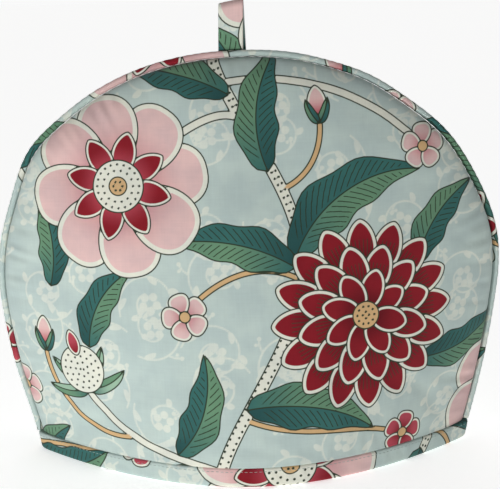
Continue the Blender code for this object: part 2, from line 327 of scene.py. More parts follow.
def drawPetals(sheet, x, y, ring):
    # a ring of petals about a middle: each is a blade along its own ray, outlined, with a core a
    # margin in from its edge that pales outward, and streaks that fan out from the middle
    ring = {**petal, **ring}
    count, inner, outer, margin = (ring[name] for name in ("count", "inner", "outer", "margin"))
    rate, start = ring["shade"]
    at, points = placesNear(sheet, x, y, outer + clothPrint["past"])
    share = 0.5 - 0.5 * np.cos(np.pi * np.linspace(0.0, 1.0, ring["steps"] + 1))
    for k in range(count):
        turn = np.radians(ring["start"] + 360.0 * k / count)
        axis = np.array([np.cos(turn), np.sin(turn)])
        run = (inner + (outer - inner) * share)[:, None] * axis
        left, right = sidesOf(run, ring["width"] / 2 * bladeWidth(share, ring["foot"], ring["tip"]))
        reach = (outer - inner) / 2 + ring["around"]
        near = np.flatnonzero(((points - run[len(run) // 2]) ** 2).sum(1) < reach ** 2)
        distance = ringDistance(points[near], np.vstack([left, right[-2:0:-1]]))
        screen = ring["screens"][k % len(ring["screens"])]
        if k == count - 1 and count % 2 == 1:
            screen = ring["spare"]
        layShape(sheet, at[near], distance, screen, dye[ring["edge"]])
        along = points[near] @ axis
        off = points[near] @ np.array([-axis[1], axis[0]])
        out = (along - inner) / (outer - inner)
        tone = mix(dye[ring["deep"]], dye[ring["core"]], smooth(out * rate + start)[:, None])
        layCore(sheet, at[near], distance + margin, tone)
        if ring["streaks"]:
            pitch = ring["streaks"]
            fan = off / np.maximum(along / outer, ring["streakFoot"])
            short = (out - ring["streakEnd"]) * ring["streakFade"]
            area = np.maximum(distance + margin + ring["streakMargin"], short)
            layVeins(sheet, at[near], area, zigzag(fan / pitch) * pitch / 2)


def drawDisc(sheet, x, y, radius, screen, tone, dots=()):
    # a round disc: the distance from its middle less the radius; dots are rings of a radius and
    # a count
    at, points = placesNear(sheet, x, y, radius + clothPrint["past"])
    gap = np.sqrt(points[:, 0] ** 2 + points[:, 1] ** 2) - radius
    layShape(sheet, at, gap, screen, dye[tone])
    spots = [
        (distance * np.cos(a), distance * np.sin(a))
        for distance, count in dots
        for a in 2 * np.pi * (np.arange(count) + 0.5 * (count % 2)) / count
    ]
    if spots:
        layDots(sheet, at, points, spots, dotRadius)


# the flowers, from the lowest ring of petals or disc up, in millimetres
dahliaPetals = {"core": "red", "deep": "deepRed", "foot": 0.55, "tip": 0.6, "streaks": 3.6}
dahliaFlower = [
    {"radius": 44.0, "screen": 2, "tone": "deepRed"},
    {**dahliaPetals, "count": 16, "inner": 28.0, "outer": 63.0, "width": 21.0, "start": 3.0,
     "margin": 2.4, "tip": 0.62},
    {**dahliaPetals, "count": 12, "inner": 14.0, "outer": 47.0, "width": 20.5, "start": 14.0,
     "margin": 2.3, "screens": (2, 3)},
    {**dahliaPetals, "count": 8, "inner": 3.0, "outer": 31.0, "width": 17.5, "start": 30.0,
     "margin": 2.0, "foot": 0.6, "streaks": 0},
    {"radius": 9.0, "screen": 2, "tone": "tan", "dots": ((5.9, 10), (2.2, 4))},
]
anemoneFlower = [
    {"core": "pink", "deep": "dustyPink", "count": 8, "inner": 9.0, "outer": 60.0, "width": 42.0,
     "start": 10.0, "margin": 3.4, "tip": 0.42},
    {"core": "red", "deep": "rose", "count": 8, "inner": 8.0, "outer": 36.0, "width": 16.5,
     "start": 32.5, "margin": 1.7, "screens": (2, 3)},
    {"radius": 17.0, "screen": 0, "tone": "cream", "dots": ((14.2, 20), (10.2, 14))},
    {"radius": 6.0, "screen": 1, "tone": "tan", "dots": ((3.1, 6),)},
]
blossomPetals = {"count": 5, "inner": 1.0, "outer": 15.5, "width": 14.0, "margin": 1.7,
                 "foot": 0.7, "tip": 0.4}
blossomMiddle = {"radius": 3.6, "screen": 2, "tone": "tan"}
budPetal = {"core": "pink", "deep": "rose", "count": 1, "inner": 2.0, "outer": 25.0,
            "width": 13.0, "margin": 1.6, "spare": 0}
budSepals = {"spread": 24, "bend": -30, "length": 18.0, "width": 6.4}
seedHead = {"radius": 17.0, "screen": 3, "tone": "cream",
            "dots": ((13.4, 17), (9.2, 12), (5.0, 7), (1.3, 2))}
seedHeadTip = {"core": "rose", "deep": "red", "count": 1, "inner": -3.0, "outer": 15.0,
               "width": 10.0, "margin": 1.5, "spare": 2}
seedHeadCup = {"spread": 38, "bend": -24, "length": 34.0, "width": 10.0}
tipAhead = 13                # from the seed head's middle
cupBehind = 14


def drawFlower(sheet, x, y, layers):
    # a ring of petals has a count, and a disc has none
    for layer in layers:
        if "count" in layer:
            drawPetals(sheet, x, y, layer)
        else:
            drawDisc(sheet, x, y, **layer)


def drawBlossom(sheet, x, y, turn, core="pink", deep="dustyPink"):
    # a small flower of five round petals
    petals = {**blossomPetals, "start": turn, "core": core, "deep": deep}
    drawFlower(sheet, x, y, [petals, blossomMiddle])


def drawSepals(sheet, x, y, heading, sides, sepal, tones):
    # narrow leaves from one foot, a spread of degrees apart, each bent back by its own share
    for side in sides:
        toward = heading + sepal["spread"] * side
        drawLeaf(sheet, x, y, toward, sepal["bend"] * side, sepal["length"], sepal["width"], tones, 1)


def drawBud(sheet, x, y, heading):
    # a pink drop between two sepals
    drawPetals(sheet, x, y, {**budPetal, "start": heading})
    drawSepals(sheet, x, y, heading, (-1, 1), budSepals, ("green", "teal"))


def drawSeedHead(sheet, x, y, heading):
    # a round dotted head in a cup of narrow leaves, with a tip of colour
    across = np.cos(np.radians(heading))
    up = np.sin(np.radians(heading))
    tones = ("green", "paleGreen")
    foot = (x - cupBehind * across, y - cupBehind * up)
    drawSepals(sheet, *foot, heading, (-2, -1, 1, 2), seedHeadCup, tones)
    drawDisc(sheet, x, y, **seedHead)
    drawPetals(sheet, x + tipAhead * across, y + tipAhead * up, {**seedHeadTip, "start": heading})


# pale sprigs on the ground, in millimetres
sprigs = {
    "seed": 7,
    "columns": 7,
    "rows": 8,
    "scatter": 0.14,         # share of its cell by which a sprig may stray
    "curl": 18.5,            # a tendril's size; it winds in to its flower
    "winding": (1.22, 0.86, 0.8),    # its radius in curls: first, and how much and how fast it falls
    "turns": 1.25,
    "steps": 45,
    "lineWidth": 1.35,
    "flower": 4.9,           # from the flower's middle to a petal's
    "petal": 2.75,
    "petals": 5,
    "leafPlaces": (1, 6, 11, 17, 22, 27, 33),    # steps along the tendril
    "leafTurns": (2.4, 0.9), # radians between the tendril's own ray and its leaves, in turn
    "leafLength": 10.0,
    "leafShortening": 0.08,  # for each leaf after the first
    "leafWidth": 4.2,
    "leafFoot": 0.6,
    "leafTip": 0.7,
    "leafBend": 40.0,
    "berry": 1.5,
    "smallBerry": 1.2,
    "smallBerryAside": 2.4,
    "smallBerryTurn": 1.6,   # radians, about a quarter turn
}


def drawSprigs(sheet):
    # pale tendrils scattered over the ground, each an open hook whose radius falls as it turns,
    # to a small five-petalled flower, with leaves and berries beside it
    rng = np.random.default_rng(sprigs["seed"])
    columns = sprigs["columns"]
    rows = sprigs["rows"]
    stray = sprigs["scatter"]
    first, fall, speed = sprigs["winding"]
    halfLine = sprigs["lineWidth"] / 2
    for k in range(columns * rows):
        column = k % columns + 0.5 + rng.uniform(-stray, stray)
        row = k // columns + 0.5 * (k % 2) + rng.uniform(-stray, stray)
        x = column * clothPrint["repeatAcross"] / columns
        y = row * clothPrint["repeatUp"] / rows
        turn = rng.uniform(0.0, 2 * np.pi)
        hand = rng.choice([-1.0, 1.0])
        at, points = placesNear(sheet, x, y, sprigs["curl"] * 2)
        if not len(at):
            continue
        share = np.linspace(0.0, 1.0, sprigs["steps"] + 1)
        angle = turn + hand * 2 * np.pi * sprigs["turns"] * share
        radius = sprigs["curl"] * (first - fall * share ** speed)
        curl = np.column_stack([radius * np.cos(angle), radius * np.sin(angle)])
        distance = placeOnRun(points, curl)[0] - halfLine
        petals = turn + 2 * np.pi * np.arange(sprigs["petals"]) / sprigs["petals"]
        middles = sprigs["flower"] * np.column_stack([np.cos(petals), np.sin(petals)])
        spots = [(middle, sprigs["petal"]) for middle in middles]
        for n, place in enumerate(sprigs["leafPlaces"]):
            outward = angle[place] + hand * sprigs["leafTurns"][n % 2]
            length = sprigs["leafLength"] * (1.0 - sprigs["leafShortening"] * n)
            run = curl[place] + arcRun(length, np.degrees(outward), sprigs["leafBend"] * hand, 8)
            if n % 3 == 1:
                # a stalk with a berry at its end, and a smaller one on its left
                distance = np.minimum(distance, placeOnRun(points, run)[0] - halfLine)
                turned = outward + np.array([sprigs["smallBerryTurn"], 0.0])
                aside = sprigs["smallBerryAside"] * np.cos(turned)
                spots += [(run[-1], sprigs["berry"]), (run[-4] + aside, sprigs["smallBerry"])]
            else:
                blade = bladeWidth(np.linspace(0.0, 1.0, len(run)), sprigs["leafFoot"], sprigs["leafTip"])
                left, right = sidesOf(run, sprigs["leafWidth"] / 2 * blade)
                leaf = ringDistance(points, np.vstack([left, right[-2:0:-1]]))
                distance = np.minimum(distance, leaf)
        for middle, size in spots:
            distance = np.minimum(distance, np.linalg.norm(points - middle, axis=1) - size)
        sheet["sprig"][at] = np.minimum(sheet["sprig"][at], distance)


# where the motifs lie on the repeat; u runs right from the panel's middle and v up from the hem
layout = {
    "dahlia": (76.0, 108.0),
    "anemone": (-84.0, 196.0),
    "branches": [
        ((20, 92), (40, 82), (60, 90), (76, 108)),
        ((-2, 238), (-20, 250), (-50, 226), (-84, 196)),
        ((-21, 10), (-50, 20), (-90, 20), (-118, 62)),
        ((-14, 262), (20, 268), (70, 262), (112, 222)),
    ],
    "twigs": [
        ((33, 134), (10, 148), (-16, 140), (-38, 118)),
        ((22, 192), (44, 200), (50, 222), (48, 238)),
        ((-84, 28), (-120, 24), (-146, 50), (-146, 86)),
        ((-5, 46), (30, 30), (70, 38), (100, 24)),
    ],
    "seedHeads": [(-118.0, 72.0, 105.0)],
    "buds": [(48.0, 234.0, 95.0), (-146.0, 82.0, 88.0)],
    "blossoms": [
        (118.0, 216.0, 18.0),
        (-42.0, 112.0, 40.0),
        (106.0, 22.0, 5.0, "rose", "red"),
        (-30.0, 292.0, 30.0, "rose", "red"),
    ],
    # x, y, heading, bend, length, width, dyes of the two halves
    "leaves": [
        (30, 148, 32, -75, 108, 34),
        (14, 204, 84, -60, 84, 27, ("green", "teal")),
        (-10, 254, 166, 34, 74, 24, ("teal", "green")),
        (30, 142, 168, 44, 84, 27, ("green", "teal")),
        (-110, 88, 58, -60, 66, 23, ("teal", "green")),
        (-50, 20, 74, 60, 74, 25, ("teal", "green")),
        (-4, 52, -14, -50, 92, 29, ("green", "teal")),
        (118, 74, 22, 56, 76, 25, ("teal", "green")),
        (112, 138, 52, -50, 70, 23, ("green", "teal")),
        (-21, 4, 200, 40, 76, 24, ("teal", "green")),
        (-136, 128, 96, 50, 64, 21, ("green", "teal")),
        (-22, 300, 30, 50, 66, 22, ("teal", "green")),
    ],
}


def drawPrint(u, v):
    # the whole repeat: twigs and branches first, then the main stem over their feet, whose place
    # across is a sine of its height, and the leaves and flowers on top
    sheet = newSheet(u, v)
    drawSprigs(sheet)
    height = clothPrint["repeatUp"]
    rise = np.linspace(-stem["overrun"], height + stem["overrun"], stem["steps"] + 1)
    swing = np.sin(2 * np.pi * (rise - stem["swayStart"]) / height)
    sway = stem["swayMiddle"] + stem["sway"] * swing
    for points in layout["twigs"]:
        drawStem(sheet, bezier(points), stem["twigWidth"], "tan")
    for points in layout["branches"]:
        drawStem(sheet, bezier(points), stem["branchWidth"])
    drawStem(sheet, np.column_stack([sway, rise]), stem["width"], dotted=True)
    for motif, draw in (("leaves", drawLeaf), ("buds", drawBud), ("seedHeads", drawSeedHead),
                        ("blossoms", drawBlossom)):
        for place in layout[motif]:
            draw(sheet, *place)
    drawFlower(sheet, *layout["anemone"], anemoneFlower)
    drawFlower(sheet, *layout["dahlia"], dahliaFlower)
    return sheet


# The form of the cosy, in metres: the same rules as the solids, worked out on finer grids.
arch = {
    "halfWidth": 0.1700,
    "widestHeight": 0.1177,
    "height": 0.2728,
    "fullness": 2.15,          # 2 is an ellipse, more is squarer
    "hemHalfChord": 0.1482,
    "flankPower": 1.5,
    "crownSteps": 400,
    "flankSteps": 200,
    "points": 1200,
    "waveHeight": 0.125,       # of the point that the uneven places are measured round
    # uneven places: around in degrees, spread in degrees, rise in metres
    "waves": [(6.0, 10.0, 0.0019), (24.0, 9.0, -0.0010), (46.0, 11.0, -0.0025), (66.0, 9.0, -0.0011),
              (149.0, 8.0, 0.0025), (163.0, 8.0, -0.0012), (213.0, 8.0, -0.0013)],
}
opening = {
    "halfDepth": 0.082,
    "fullness": 1.8,           # 2 is a parabola, less is more pointed in the middle
    "rounding": 0.3,           # share of the half width over which the middle is rounded off
}
# what the panels end at, and the room between pieces that meet
edging = {"pipingRadius": 0.00225, "bandHeight": 0.0126, "bandProud": 0.0005, "gap": 0.0003}


def archOutline():
    # outer edge of the arch in x and z: a superellipse above the widest place, drawn in as a
    # power below it, with a few bell-shaped uneven places
    width = arch["halfWidth"]
    widest = arch["widestHeight"]
    power = 2 / arch["fullness"]
    turn = np.linspace(0.0, np.pi / 2, arch["crownSteps"])
    crownX = width * np.cos(turn) ** power
    crownZ = widest + (arch["height"] - widest) * np.sin(turn) ** power
    flankZ = np.linspace(0.0, widest, arch["flankSteps"])[:-1]
    drawnIn = ((widest - flankZ) / widest) ** arch["flankPower"]
    flankX = width - (width - arch["hemHalfChord"]) * drawnIn
    right = np.column_stack([np.concatenate([flankX, crownX]), np.concatenate([flankZ, crownZ])])
    points = np.vstack([right, right[-2::-1] * [-1.0, 1.0]])
    middle = np.array([0.0, arch["waveHeight"]])
    fromMiddle = points - middle
    reach = np.linalg.norm(fromMiddle, axis=1)
    around = np.degrees(np.arctan2(fromMiddle[:, 1], fromMiddle[:, 0]))
    around = np.where(around < -90.0, around + 360.0, around)
    rise = sum(size * np.exp(-((around - at) / spread) ** 2) for at, spread, size in arch["waves"])
    points = middle + fromMiddle * (1.0 + rise / reach)[:, None]
    points[:, 0] -= (points[:, 0].max() + points[:, 0].min()) / 2
    return spreadEvenly(points, arch["points"])


def inset(points, distance):
    # an open run moved to its left, which is inward on the arch
    return points + distance * leftOf(points)


def cutBelow(points, height):
    # the run without its ends below a height, with an end at that height on each side
    middle = len(points) // 2
    runs = []
    for side in (points[:middle + 1], points[middle:][::-1]):
        foot = [np.interp(height, side[:, 1], side[:, 0]), height]
        runs.append(np.vstack([foot, side[side[:, 1] > height]]))
    return np.vstack([runs[0], runs[1][::-1][1:]])


def openingBow(share):
    # how far the hem bows out, 1 in the middle and 0 at the corners, and its slope: 1 less a
    # power of the share, rounded off in the middle
    power = opening["fullness"]
    least = opening["rounding"] ** power
    most = (1.0 + opening["rounding"] ** 2) ** (power / 2)
    rounded = share ** 2 + opening["rounding"] ** 2
    bow = 1.0 - (rounded ** (power / 2) - least) / (most - least)
    return bow, power * share * rounded ** (power / 2 - 1) / (most - least)


outline = archOutline()
seam = inset(outline, 2 * edging["pipingRadius"] + edging["gap"])
seamTop = seam[:, 1].max()
print("arch and seam worked out")


def gridFaces(rows, columns, start=0, turned=False):
    # one four-sided face between each two rows and two columns of a grid of points
    index = start + np.arange(rows * columns).reshape(rows, columns)
    quads = np.stack([index[:-1, :-1], index[:-1, 1:], index[1:, 1:], index[1:, :-1]], -1).reshape(-1, 4)
    return quads[:, ::-1] if turned else quads


def borderOf(rows, columns, start=0):
    # the outermost places of a grid, in order round it
    index = start + np.arange(rows * columns).reshape(rows, columns)
    return np.concatenate([index[0, :-1], index[:-1, -1], index[-1, :0:-1], index[:0:-1, 0]])


def closedTube(sections):
    # faces of a tube whose sections are rings, with a flat cap at each end
    count, around = sections.shape[:2]
    index = np.arange(count * around).reshape(count, around)
    onward = np.roll(index, -1, axis=1)
    quads = np.stack([index[:-1], onward[:-1], onward[1:], index[1:]], -1).reshape(-1, 4)
    return quads.tolist() + [index[0, ::-1].tolist(), index[-1].tolist()]


def makePiece(name, points, faces, materials, faceMaterial=None):
    # an object at the origin, with its place in its mesh
    mesh = bpy.data.meshes.new(name)
    mesh.from_pydata(points.tolist(), [], [list(f) for f in faces])
    for material in materials:
        mesh.materials.append(material)
    if faceMaterial is not None:
        mesh.polygons.foreach_set("material_index", np.asarray(faceMaterial, np.int32))
    mesh.shade_smooth()
    mesh.update()
    piece = bpy.data.objects.new(name, mesh)
    bpy.context.scene.collection.objects.link(piece)
    return piece


def setNumber(piece, name, values):
    # a number at each point of the mesh, which a material can read by its name
    layer = piece.data.attributes.new(name, "FLOAT", "POINT")
    layer.data.foreach_set("value", np.asarray(values, np.float32))


def setColour(piece, name, values):
    # a linear colour at each point of the mesh
    layer = piece.data.attributes.new(name, "FLOAT_COLOR", "POINT")
    colours = np.concatenate([values, np.ones((len(values), 1))], axis=1)
    layer.data.foreach_set("color", colours.astype(np.float32).ravel())


def setPlace(piece, u, v):
    # where each corner lies on the cloth, in millimetres, as the piece's own map
    layer = piece.data.uv_layers.new(name="clothPlace")
    corner = np.empty(len(piece.data.loops), np.int32)
    piece.data.loops.foreach_get("vertex_index", corner)
    layer.data.foreach_set("uv", np.column_stack([u[corner], v[corner]]).astype(np.float32).ravel())


def carryPrint(piece, u, v, turn=0.0, shift=(0.0, 0.0)):
    # cuts the piece out of the printed length, turned by degrees and then shifted, and keeps the
    # drawing on its mesh
    angle = np.radians(turn)
    across = u * np.cos(angle) - v * np.sin(angle) + shift[0]
    up = u * np.sin(angle) + v * np.cos(angle) + shift[1]
    sheet = drawPrint(across, up)
    for k in range(clothPrint["screens"]):
        setNumber(piece, f"edge{k}", sheet["edge"][k])
        setColour(piece, f"tone{k}", sheet["tone"][k])
    for name in ("core", "vein", "veinArea", "dot", "sprig"):
        setNumber(piece, name, sheet[name])
    setColour(piece, "coreTone", sheet["coreTone"])
    setPlace(piece, u, v)
    print(piece.name, "printed")


def addNode(tree, kind, inputs=None, **settings):
    # one node with its settings; each input is a fixed value or the output that feeds it
    node = tree.nodes.new(kind)
    for name, value in settings.items():
        setattr(node, name, value)
    for socket, value in (inputs or {}).items():
        if isinstance(value, bpy.types.NodeSocket):
            tree.links.new(value, node.inputs[socket])
        else:
            node.inputs[socket].default_value = value
    return node


def startMaterial(name, colour, roughness, sheen=0.0):
    # a shader with the plain values of matt cloth and paper
    material = bpy.data.materials.new(name)
    material.use_nodes = True
    material.diffuse_color = (*colour, 1.0)
    shader = material.node_tree.nodes["Principled BSDF"]
    values = {"Base Color": (*colour, 1.0), "Roughness": roughness, "IOR": 1.5,
              "Specular IOR Level": 0.15, "Sheen Weight": sheen, "Sheen Roughness": 0.5}
    for socket, value in values.items():
        shader.inputs[socket].default_value = value
    return material, material.node_tree, shader


def shadeColour(tree, shader, colour, shade):
    # the shader's colour is the colour times a grey as light as the shade: the slubs' uneven dye on the
    # cloth, and the painted groove shade on the thread
    grey = addNode(tree, "ShaderNodeCombineColor", {0: shade, 1: shade, 2: shade})
    inputs = {0: 1.0, 6: colour, 7: grey.outputs[0]}
    shaded = addNode(tree, "ShaderNodeMix", inputs, data_type="RGBA", blend_type="MULTIPLY")
    tree.links.new(shaded.outputs[2], shader.inputs["Base Color"])


# plain weave, for all the cloth
threads = {
    "bump": 0.35,
    "slubAlong": 0.05,          # how fast the yarn's thickness changes, for each millimetre
    "slubAcross": 0.9,
    "slubHeight": 0.6,          # against the height of a thread
}


def weave(tree, shader, pitch, slub, depth):
    # plain weave on the cloth's own map: the size of sine across times sine up, one half wave a
    # thread, so that each thread passes over and under in turn; slubs are two noises drawn out
    # along the threads, added to the bump and returned as a shade near 1
    place = addNode(tree, "ShaderNodeUVMap", uv_map="clothPlace").outputs[0]
    split = addNode(tree, "ShaderNodeSeparateXYZ", {0: place})
    waves = []
    for axis in (0, 1):
        inputs = {0: split.outputs[axis], 1: np.pi / pitch}
        turns = addNode(tree, "ShaderNodeMath", inputs, operation="MULTIPLY")
        waves.append(addNode(tree, "ShaderNodeMath", {0: turns.outputs[0]}, operation="SINE").outputs[0])
    crossing = addNode(tree, "ShaderNodeMath", {0: waves[0], 1: waves[1]}, operation="MULTIPLY")
    raised = addNode(tree, "ShaderNodeMath", {0: crossing.outputs[0]}, operation="ABSOLUTE")
    along = threads["slubAlong"]
    across = threads["slubAcross"]
    noises = []
    for scale in ((along, across, 1.0), (across, along, 1.0)):
        drawnOut = addNode(tree, "ShaderNodeMapping", {"Vector": place, "Scale": scale})
        inputs = {"Vector": drawnOut.outputs[0], "Scale": 1.0, "Detail": 2.0, "Roughness": 0.6}
        noises.append(addNode(tree, "ShaderNodeTexNoise", inputs).outputs[0])
    uneven = addNode(tree, "ShaderNodeMath", {0: noises[0], 1: noises[1]}, operation="ADD").outputs[0]
    inputs = {0: uneven, 1: threads["slubHeight"], 2: raised.outputs[0]}
    height = addNode(tree, "ShaderNodeMath", inputs, operation="MULTIPLY_ADD")
    inputs = {"Height": height.outputs[0], "Strength": threads["bump"], "Distance": depth}
    bump = addNode(tree, "ShaderNodeBump", inputs)
    tree.links.new(bump.outputs[0], shader.inputs["Normal"])
    inputs = {0: uneven, 1: slub * 2, 2: 1.0 - slub * 2}
    slubs = addNode(tree, "ShaderNodeMath", inputs, operation="MULTIPLY_ADD")
    return place, slubs.outputs[0]


printedCotton = {
    "threadPitch": 0.9,         # real ones are about 0.35 mm apart; drawn coarser so that they show
    "threadDepth": 0.00005,     # in metres
    "slub": 0.05,               # uneven dyeing along the threads
    "clouding": "f3f5f8",       # where the dyes lie a little deeper and bluer, times the colour
    "cloudsPerMillimetre": 0.045,
    "cloudEdge": (0.38, 0.62),  # of the noise, from clouded to clear
    "roughness": 0.88,
    "sheen": 0.12,
    "sprigStrength": 0.78,
    "edgeBlur": 0.22,           # half the width over which a dye's edge softens
    "sprigBlur": 0.5,
}


def screenPrintedCotton(name):
    # Plain cotton printed with flat matt dyes: crisp edges and a dark key line on a pale ground,
    # with the weave showing through. The ground, then the sprigs, each screen and the cores where
    # its distance is below 0, then the line where the least of every edge's size less half a
    # line, the veins and the dots is below 0; all of it times the slubs and a slow noise.
    look = printedCotton
    screens = range(clothPrint["screens"])
    material, tree, shader = startMaterial(name, dye["ground"], look["roughness"], look["sheen"])
    place, slubs = weave(tree, shader, look["threadPitch"], look["slub"], look["threadDepth"])
    fields = [f"edge{k}" for k in screens] + ["core"]
    toneFields = [f"tone{k}" for k in screens] + ["coreTone"]
    distance = {}
    for field in fields + ["sprig", "vein", "veinArea", "dot"]:
        distance[field] = addNode(tree, "ShaderNodeAttribute", attribute_name=field).outputs["Fac"]
    layers = [("sprig", look["sprigStrength"], (*dye["sprig"], 1.0))]
    for field, toneField in zip(fields, toneFields):
        tone = addNode(tree, "ShaderNodeAttribute", attribute_name=toneField)
        layers.append((field, 1.0, tone.outputs["Color"]))
    # the least distance to anything drawn in line
    lines = distance["dot"]
    drawn = [(f"edge{k}", clothPrint["lineWidth"] / 2) for k in screens]
    for field, half in drawn + [("vein", clothPrint["veinWidth"] / 2)]:
        size = addNode(tree, "ShaderNodeMath", {0: distance[field]}, operation="ABSOLUTE")
        inputs = {0: size.outputs[0], 1: half}
        line = addNode(tree, "ShaderNodeMath", inputs, operation="SUBTRACT").outputs[0]
        if field == "vein":
            inputs = {0: line, 1: distance["veinArea"]}
            line = addNode(tree, "ShaderNodeMath", inputs, operation="MAXIMUM").outputs[0]
        lines = addNode(tree, "ShaderNodeMath", {0: lines, 1: line}, operation="MINIMUM").outputs[0]
    distance["line"] = lines
    layers.append(("line", 1.0, (*dye["line"], 1.0)))
    colour = (*dye["ground"], 1.0)
    for field, strength, tone in layers:
        blur = look["sprigBlur"] if field == "sprig" else look["edgeBlur"]
        inputs = {"Value": distance[field], "From Min": -blur, "From Max": blur,
                  "To Min": strength, "To Max": 0.0}
        cover = addNode(tree, "ShaderNodeMapRange", inputs, interpolation_type="SMOOTHSTEP")
        inputs = {0: cover.outputs["Result"], 6: colour, 7: tone}
        colour = addNode(tree, "ShaderNodeMix", inputs, data_type="RGBA").outputs[2]
    inputs = {"Vector": place, "Scale": look["cloudsPerMillimetre"], "Detail": 3.0}
    cloud = addNode(tree, "ShaderNodeTexNoise", inputs)
    clouded, clear = look["cloudEdge"]
    inputs = {"Value": cloud.outputs[0], "From Min": clouded, "From Max": clear}
    share = addNode(tree, "ShaderNodeMapRange", inputs)
    inputs = {0: share.outputs[0], 6: (*hexToLinear(look["clouding"]), 1.0), 7: (1.0, 1.0, 1.0, 1.0)}
    tint = addNode(tree, "ShaderNodeMix", inputs, data_type="RGBA")
    inputs = {0: 1.0, 6: colour, 7: tint.outputs[2]}
    dyed = addNode(tree, "ShaderNodeMix", inputs, data_type="RGBA", blend_type="MULTIPLY")
    shadeColour(tree, shader, dyed.outputs[2], slubs)
    return material


undyedCotton = {
    "colour": "dcdccf",
    "threadPitch": 1.1,         # real ones are about 0.45 mm apart; drawn coarser so that they show
    "threadDepth": 0.00006,
    "slub": 0.08,
    "roughness": 0.88,
    "sheen": 0.15,
}


def plainUndyedCotton(name):
    # Undyed calico, warm and a little slubby: one colour times the slubs of the weave.
    look = undyedCotton
    colour = hexToLinear(look["colour"])
    material, tree, shader = startMaterial(name, colour, look["roughness"], look["sheen"])
    slubs = weave(tree, shader, look["threadPitch"], look["slub"], look["threadDepth"])[1]
    shadeColour(tree, shader, (*colour, 1.0), slubs)
    return material


sewingThread = {
    "colour": "a3b4ae",
    "twistsPerMillimetre": 2.2,
    "twistDepth": 0.00004,      # in metres
    # how much painted shade darkens the grooves between the plies, where the bump is low
    "paintedGrooveShade": 0.06,
    "roughness": 0.6,
    "sheen": 0.3,
}


def twistedThread(name):
    # Cotton sewing thread with a low lustre: slanting bands run round each stitch as its plies do, the
    # sine of the place
    #  along plus the place round, for both the bump and a painted shade that darkens the grooves between
    #  the plies.
    look = sewingThread
    colour = hexToLinear(look["colour"])
    material, tree, shader = startMaterial(name, colour, look["roughness"], look["sheen"])
    place = addNode(tree, "ShaderNodeUVMap", uv_map="clothPlace")
    split = addNode(tree, "ShaderNodeSeparateXYZ", {0: place.outputs[0]})
    slant = addNode(tree, "ShaderNodeMath", {0: split.outputs[0], 1: split.outputs[1]}, operation="ADD")
    inputs = {0: slant.outputs[0], 1: 2 * np.pi * look["twistsPerMillimetre"]}
    turned = addNode(tree, "ShaderNodeMath", inputs, operation="MULTIPLY")
    plies = addNode(tree, "ShaderNodeMath", {0: turned.outputs[0]}, operation="SINE")
    inputs = {"Height": plies.outputs[0], "Distance": look["twistDepth"]}
    bump = addNode(tree, "ShaderNodeBump", inputs)
    tree.links.new(bump.outputs[0], shader.inputs["Normal"])
    # painted shade: the colour is darker where the plies' bump is low, in the grooves between them
    inputs = {0: plies.outputs[0], 1: look["paintedGrooveShade"], 2: 1.0 - look["paintedGrooveShade"]}
    shade = addNode(tree, "ShaderNodeMath", inputs, operation="MULTIPLY_ADD").outputs[0]
    shadeColour(tree, shader, (*colour, 1.0), shade)
    return material


panelCotton = screenPrintedCotton("screenPrintedCotton")
insideCotton = plainUndyedCotton("plainUndyedCotton")
stitchThread = twistedThread("twistedSewingThread")
print("materials made")


# the two padded panels, in metres
panel = {
    "wall": 0.0070,
    "wallAtSeam": 0.0026,
    "wallGrowth": 0.0070,       # how far in from the seam the wall thickens
    "puffRise": 0.0090,         # how far the wadding swells beside the seam
    "puffReach": 0.0170,
    "puffAtHem": 0.3,
    "puffFadeHeight": 0.090,
    "leanPower": 1.35,
    "columns": 304,
    "rows": 256,
    "shoulder": 0.29,           # share of the seam that is the grid's side, up to each shoulder
    "coarse": 8,                # outer steps for each step of the inner face
    "rimSteps": 4000,
    "rimPlaces": 1400,          # of the seam that the grid's distances are taken from
    "clothRise": 1.036,         # length of cloth up the panel for its height
}


def middleDepth(z):
    # depth of the panel on its middle line, leaning in from the hem to the seam: the opening's
    # depth, less a power of the height
    least = edging["gap"] / 2 + panel["wallAtSeam"] + panel["puffRise"]
    lean = 1.0 - np.clip(z / seamTop, 0.0, 1.0) ** panel["leanPower"]
    return least + (opening["halfDepth"] - edging["bandProud"] - least) * lean


def halfChord(x, z):
    # how far out the seam is at a height, on the side that x is on
    middle = len(seam) // 2
    right = seam[:middle + 1]
    left = seam[middle:][::-1]
    onRight = np.interp(z, right[:, 1], right[:, 0])
    return np.where(x >= 0, onRight, np.interp(z, left[:, 1], -left[:, 0]))


def panelDepths(x, z, fromSeam):
    # a swelling beside the seam, a quarter ellipse, plus a lens that follows the opening's bow;
    # the inner face lies the wall's thickness behind it, measured square to the slope
    chord = halfChord(x, z)
    share = np.clip(np.abs(x) / np.maximum(chord, 1e-6), 0.0, 1.0)
    grown = panel["puffAtHem"] + (1 - panel["puffAtHem"]) * smooth(z / panel["puffFadeHeight"])
    edge = np.clip(fromSeam / panel["puffReach"], 0.0, 1.0)
    puff = panel["puffRise"] * grown * np.sqrt(1.0 - (1.0 - edge) ** 2)
    seamFace = edging["gap"] / 2 + panel["wallAtSeam"]
    lens = middleDepth(z) - seamFace - panel["puffRise"] * grown
    bow, bowSlope = openingBow(share)
    outer = seamFace + lens * bow + puff
    slope = lens * bowSlope / np.maximum(chord, arch["halfWidth"] / 4)
    thick = panel["wall"] - (panel["wall"] - panel["wallAtSeam"]) * np.exp(-fromSeam / panel["wallGrowth"])
    inner = outer - thick * np.sqrt(1.0 + slope ** 2)
    return outer, np.maximum(inner, edging["gap"] / 2)


def patchBetween(low, high, first, last):
    # a grid filled in between four border runs: the two ways of joining facing borders, added,
    # less the flat patch of the corners
    u = np.linspace(0.0, 1.0, len(low))[None, :, None]
    v = np.linspace(0.0, 1.0, len(first))[:, None, None]
    across = (1 - v) * low[None] + v * high[None]
    up = (1 - u) * first[:, None] + u * last[:, None]
    lower = (1 - u) * (1 - v) * low[0] + u * (1 - v) * low[-1]
    corners = lower + (1 - u) * v * high[0] + u * v * high[-1]
    return across + up - corners


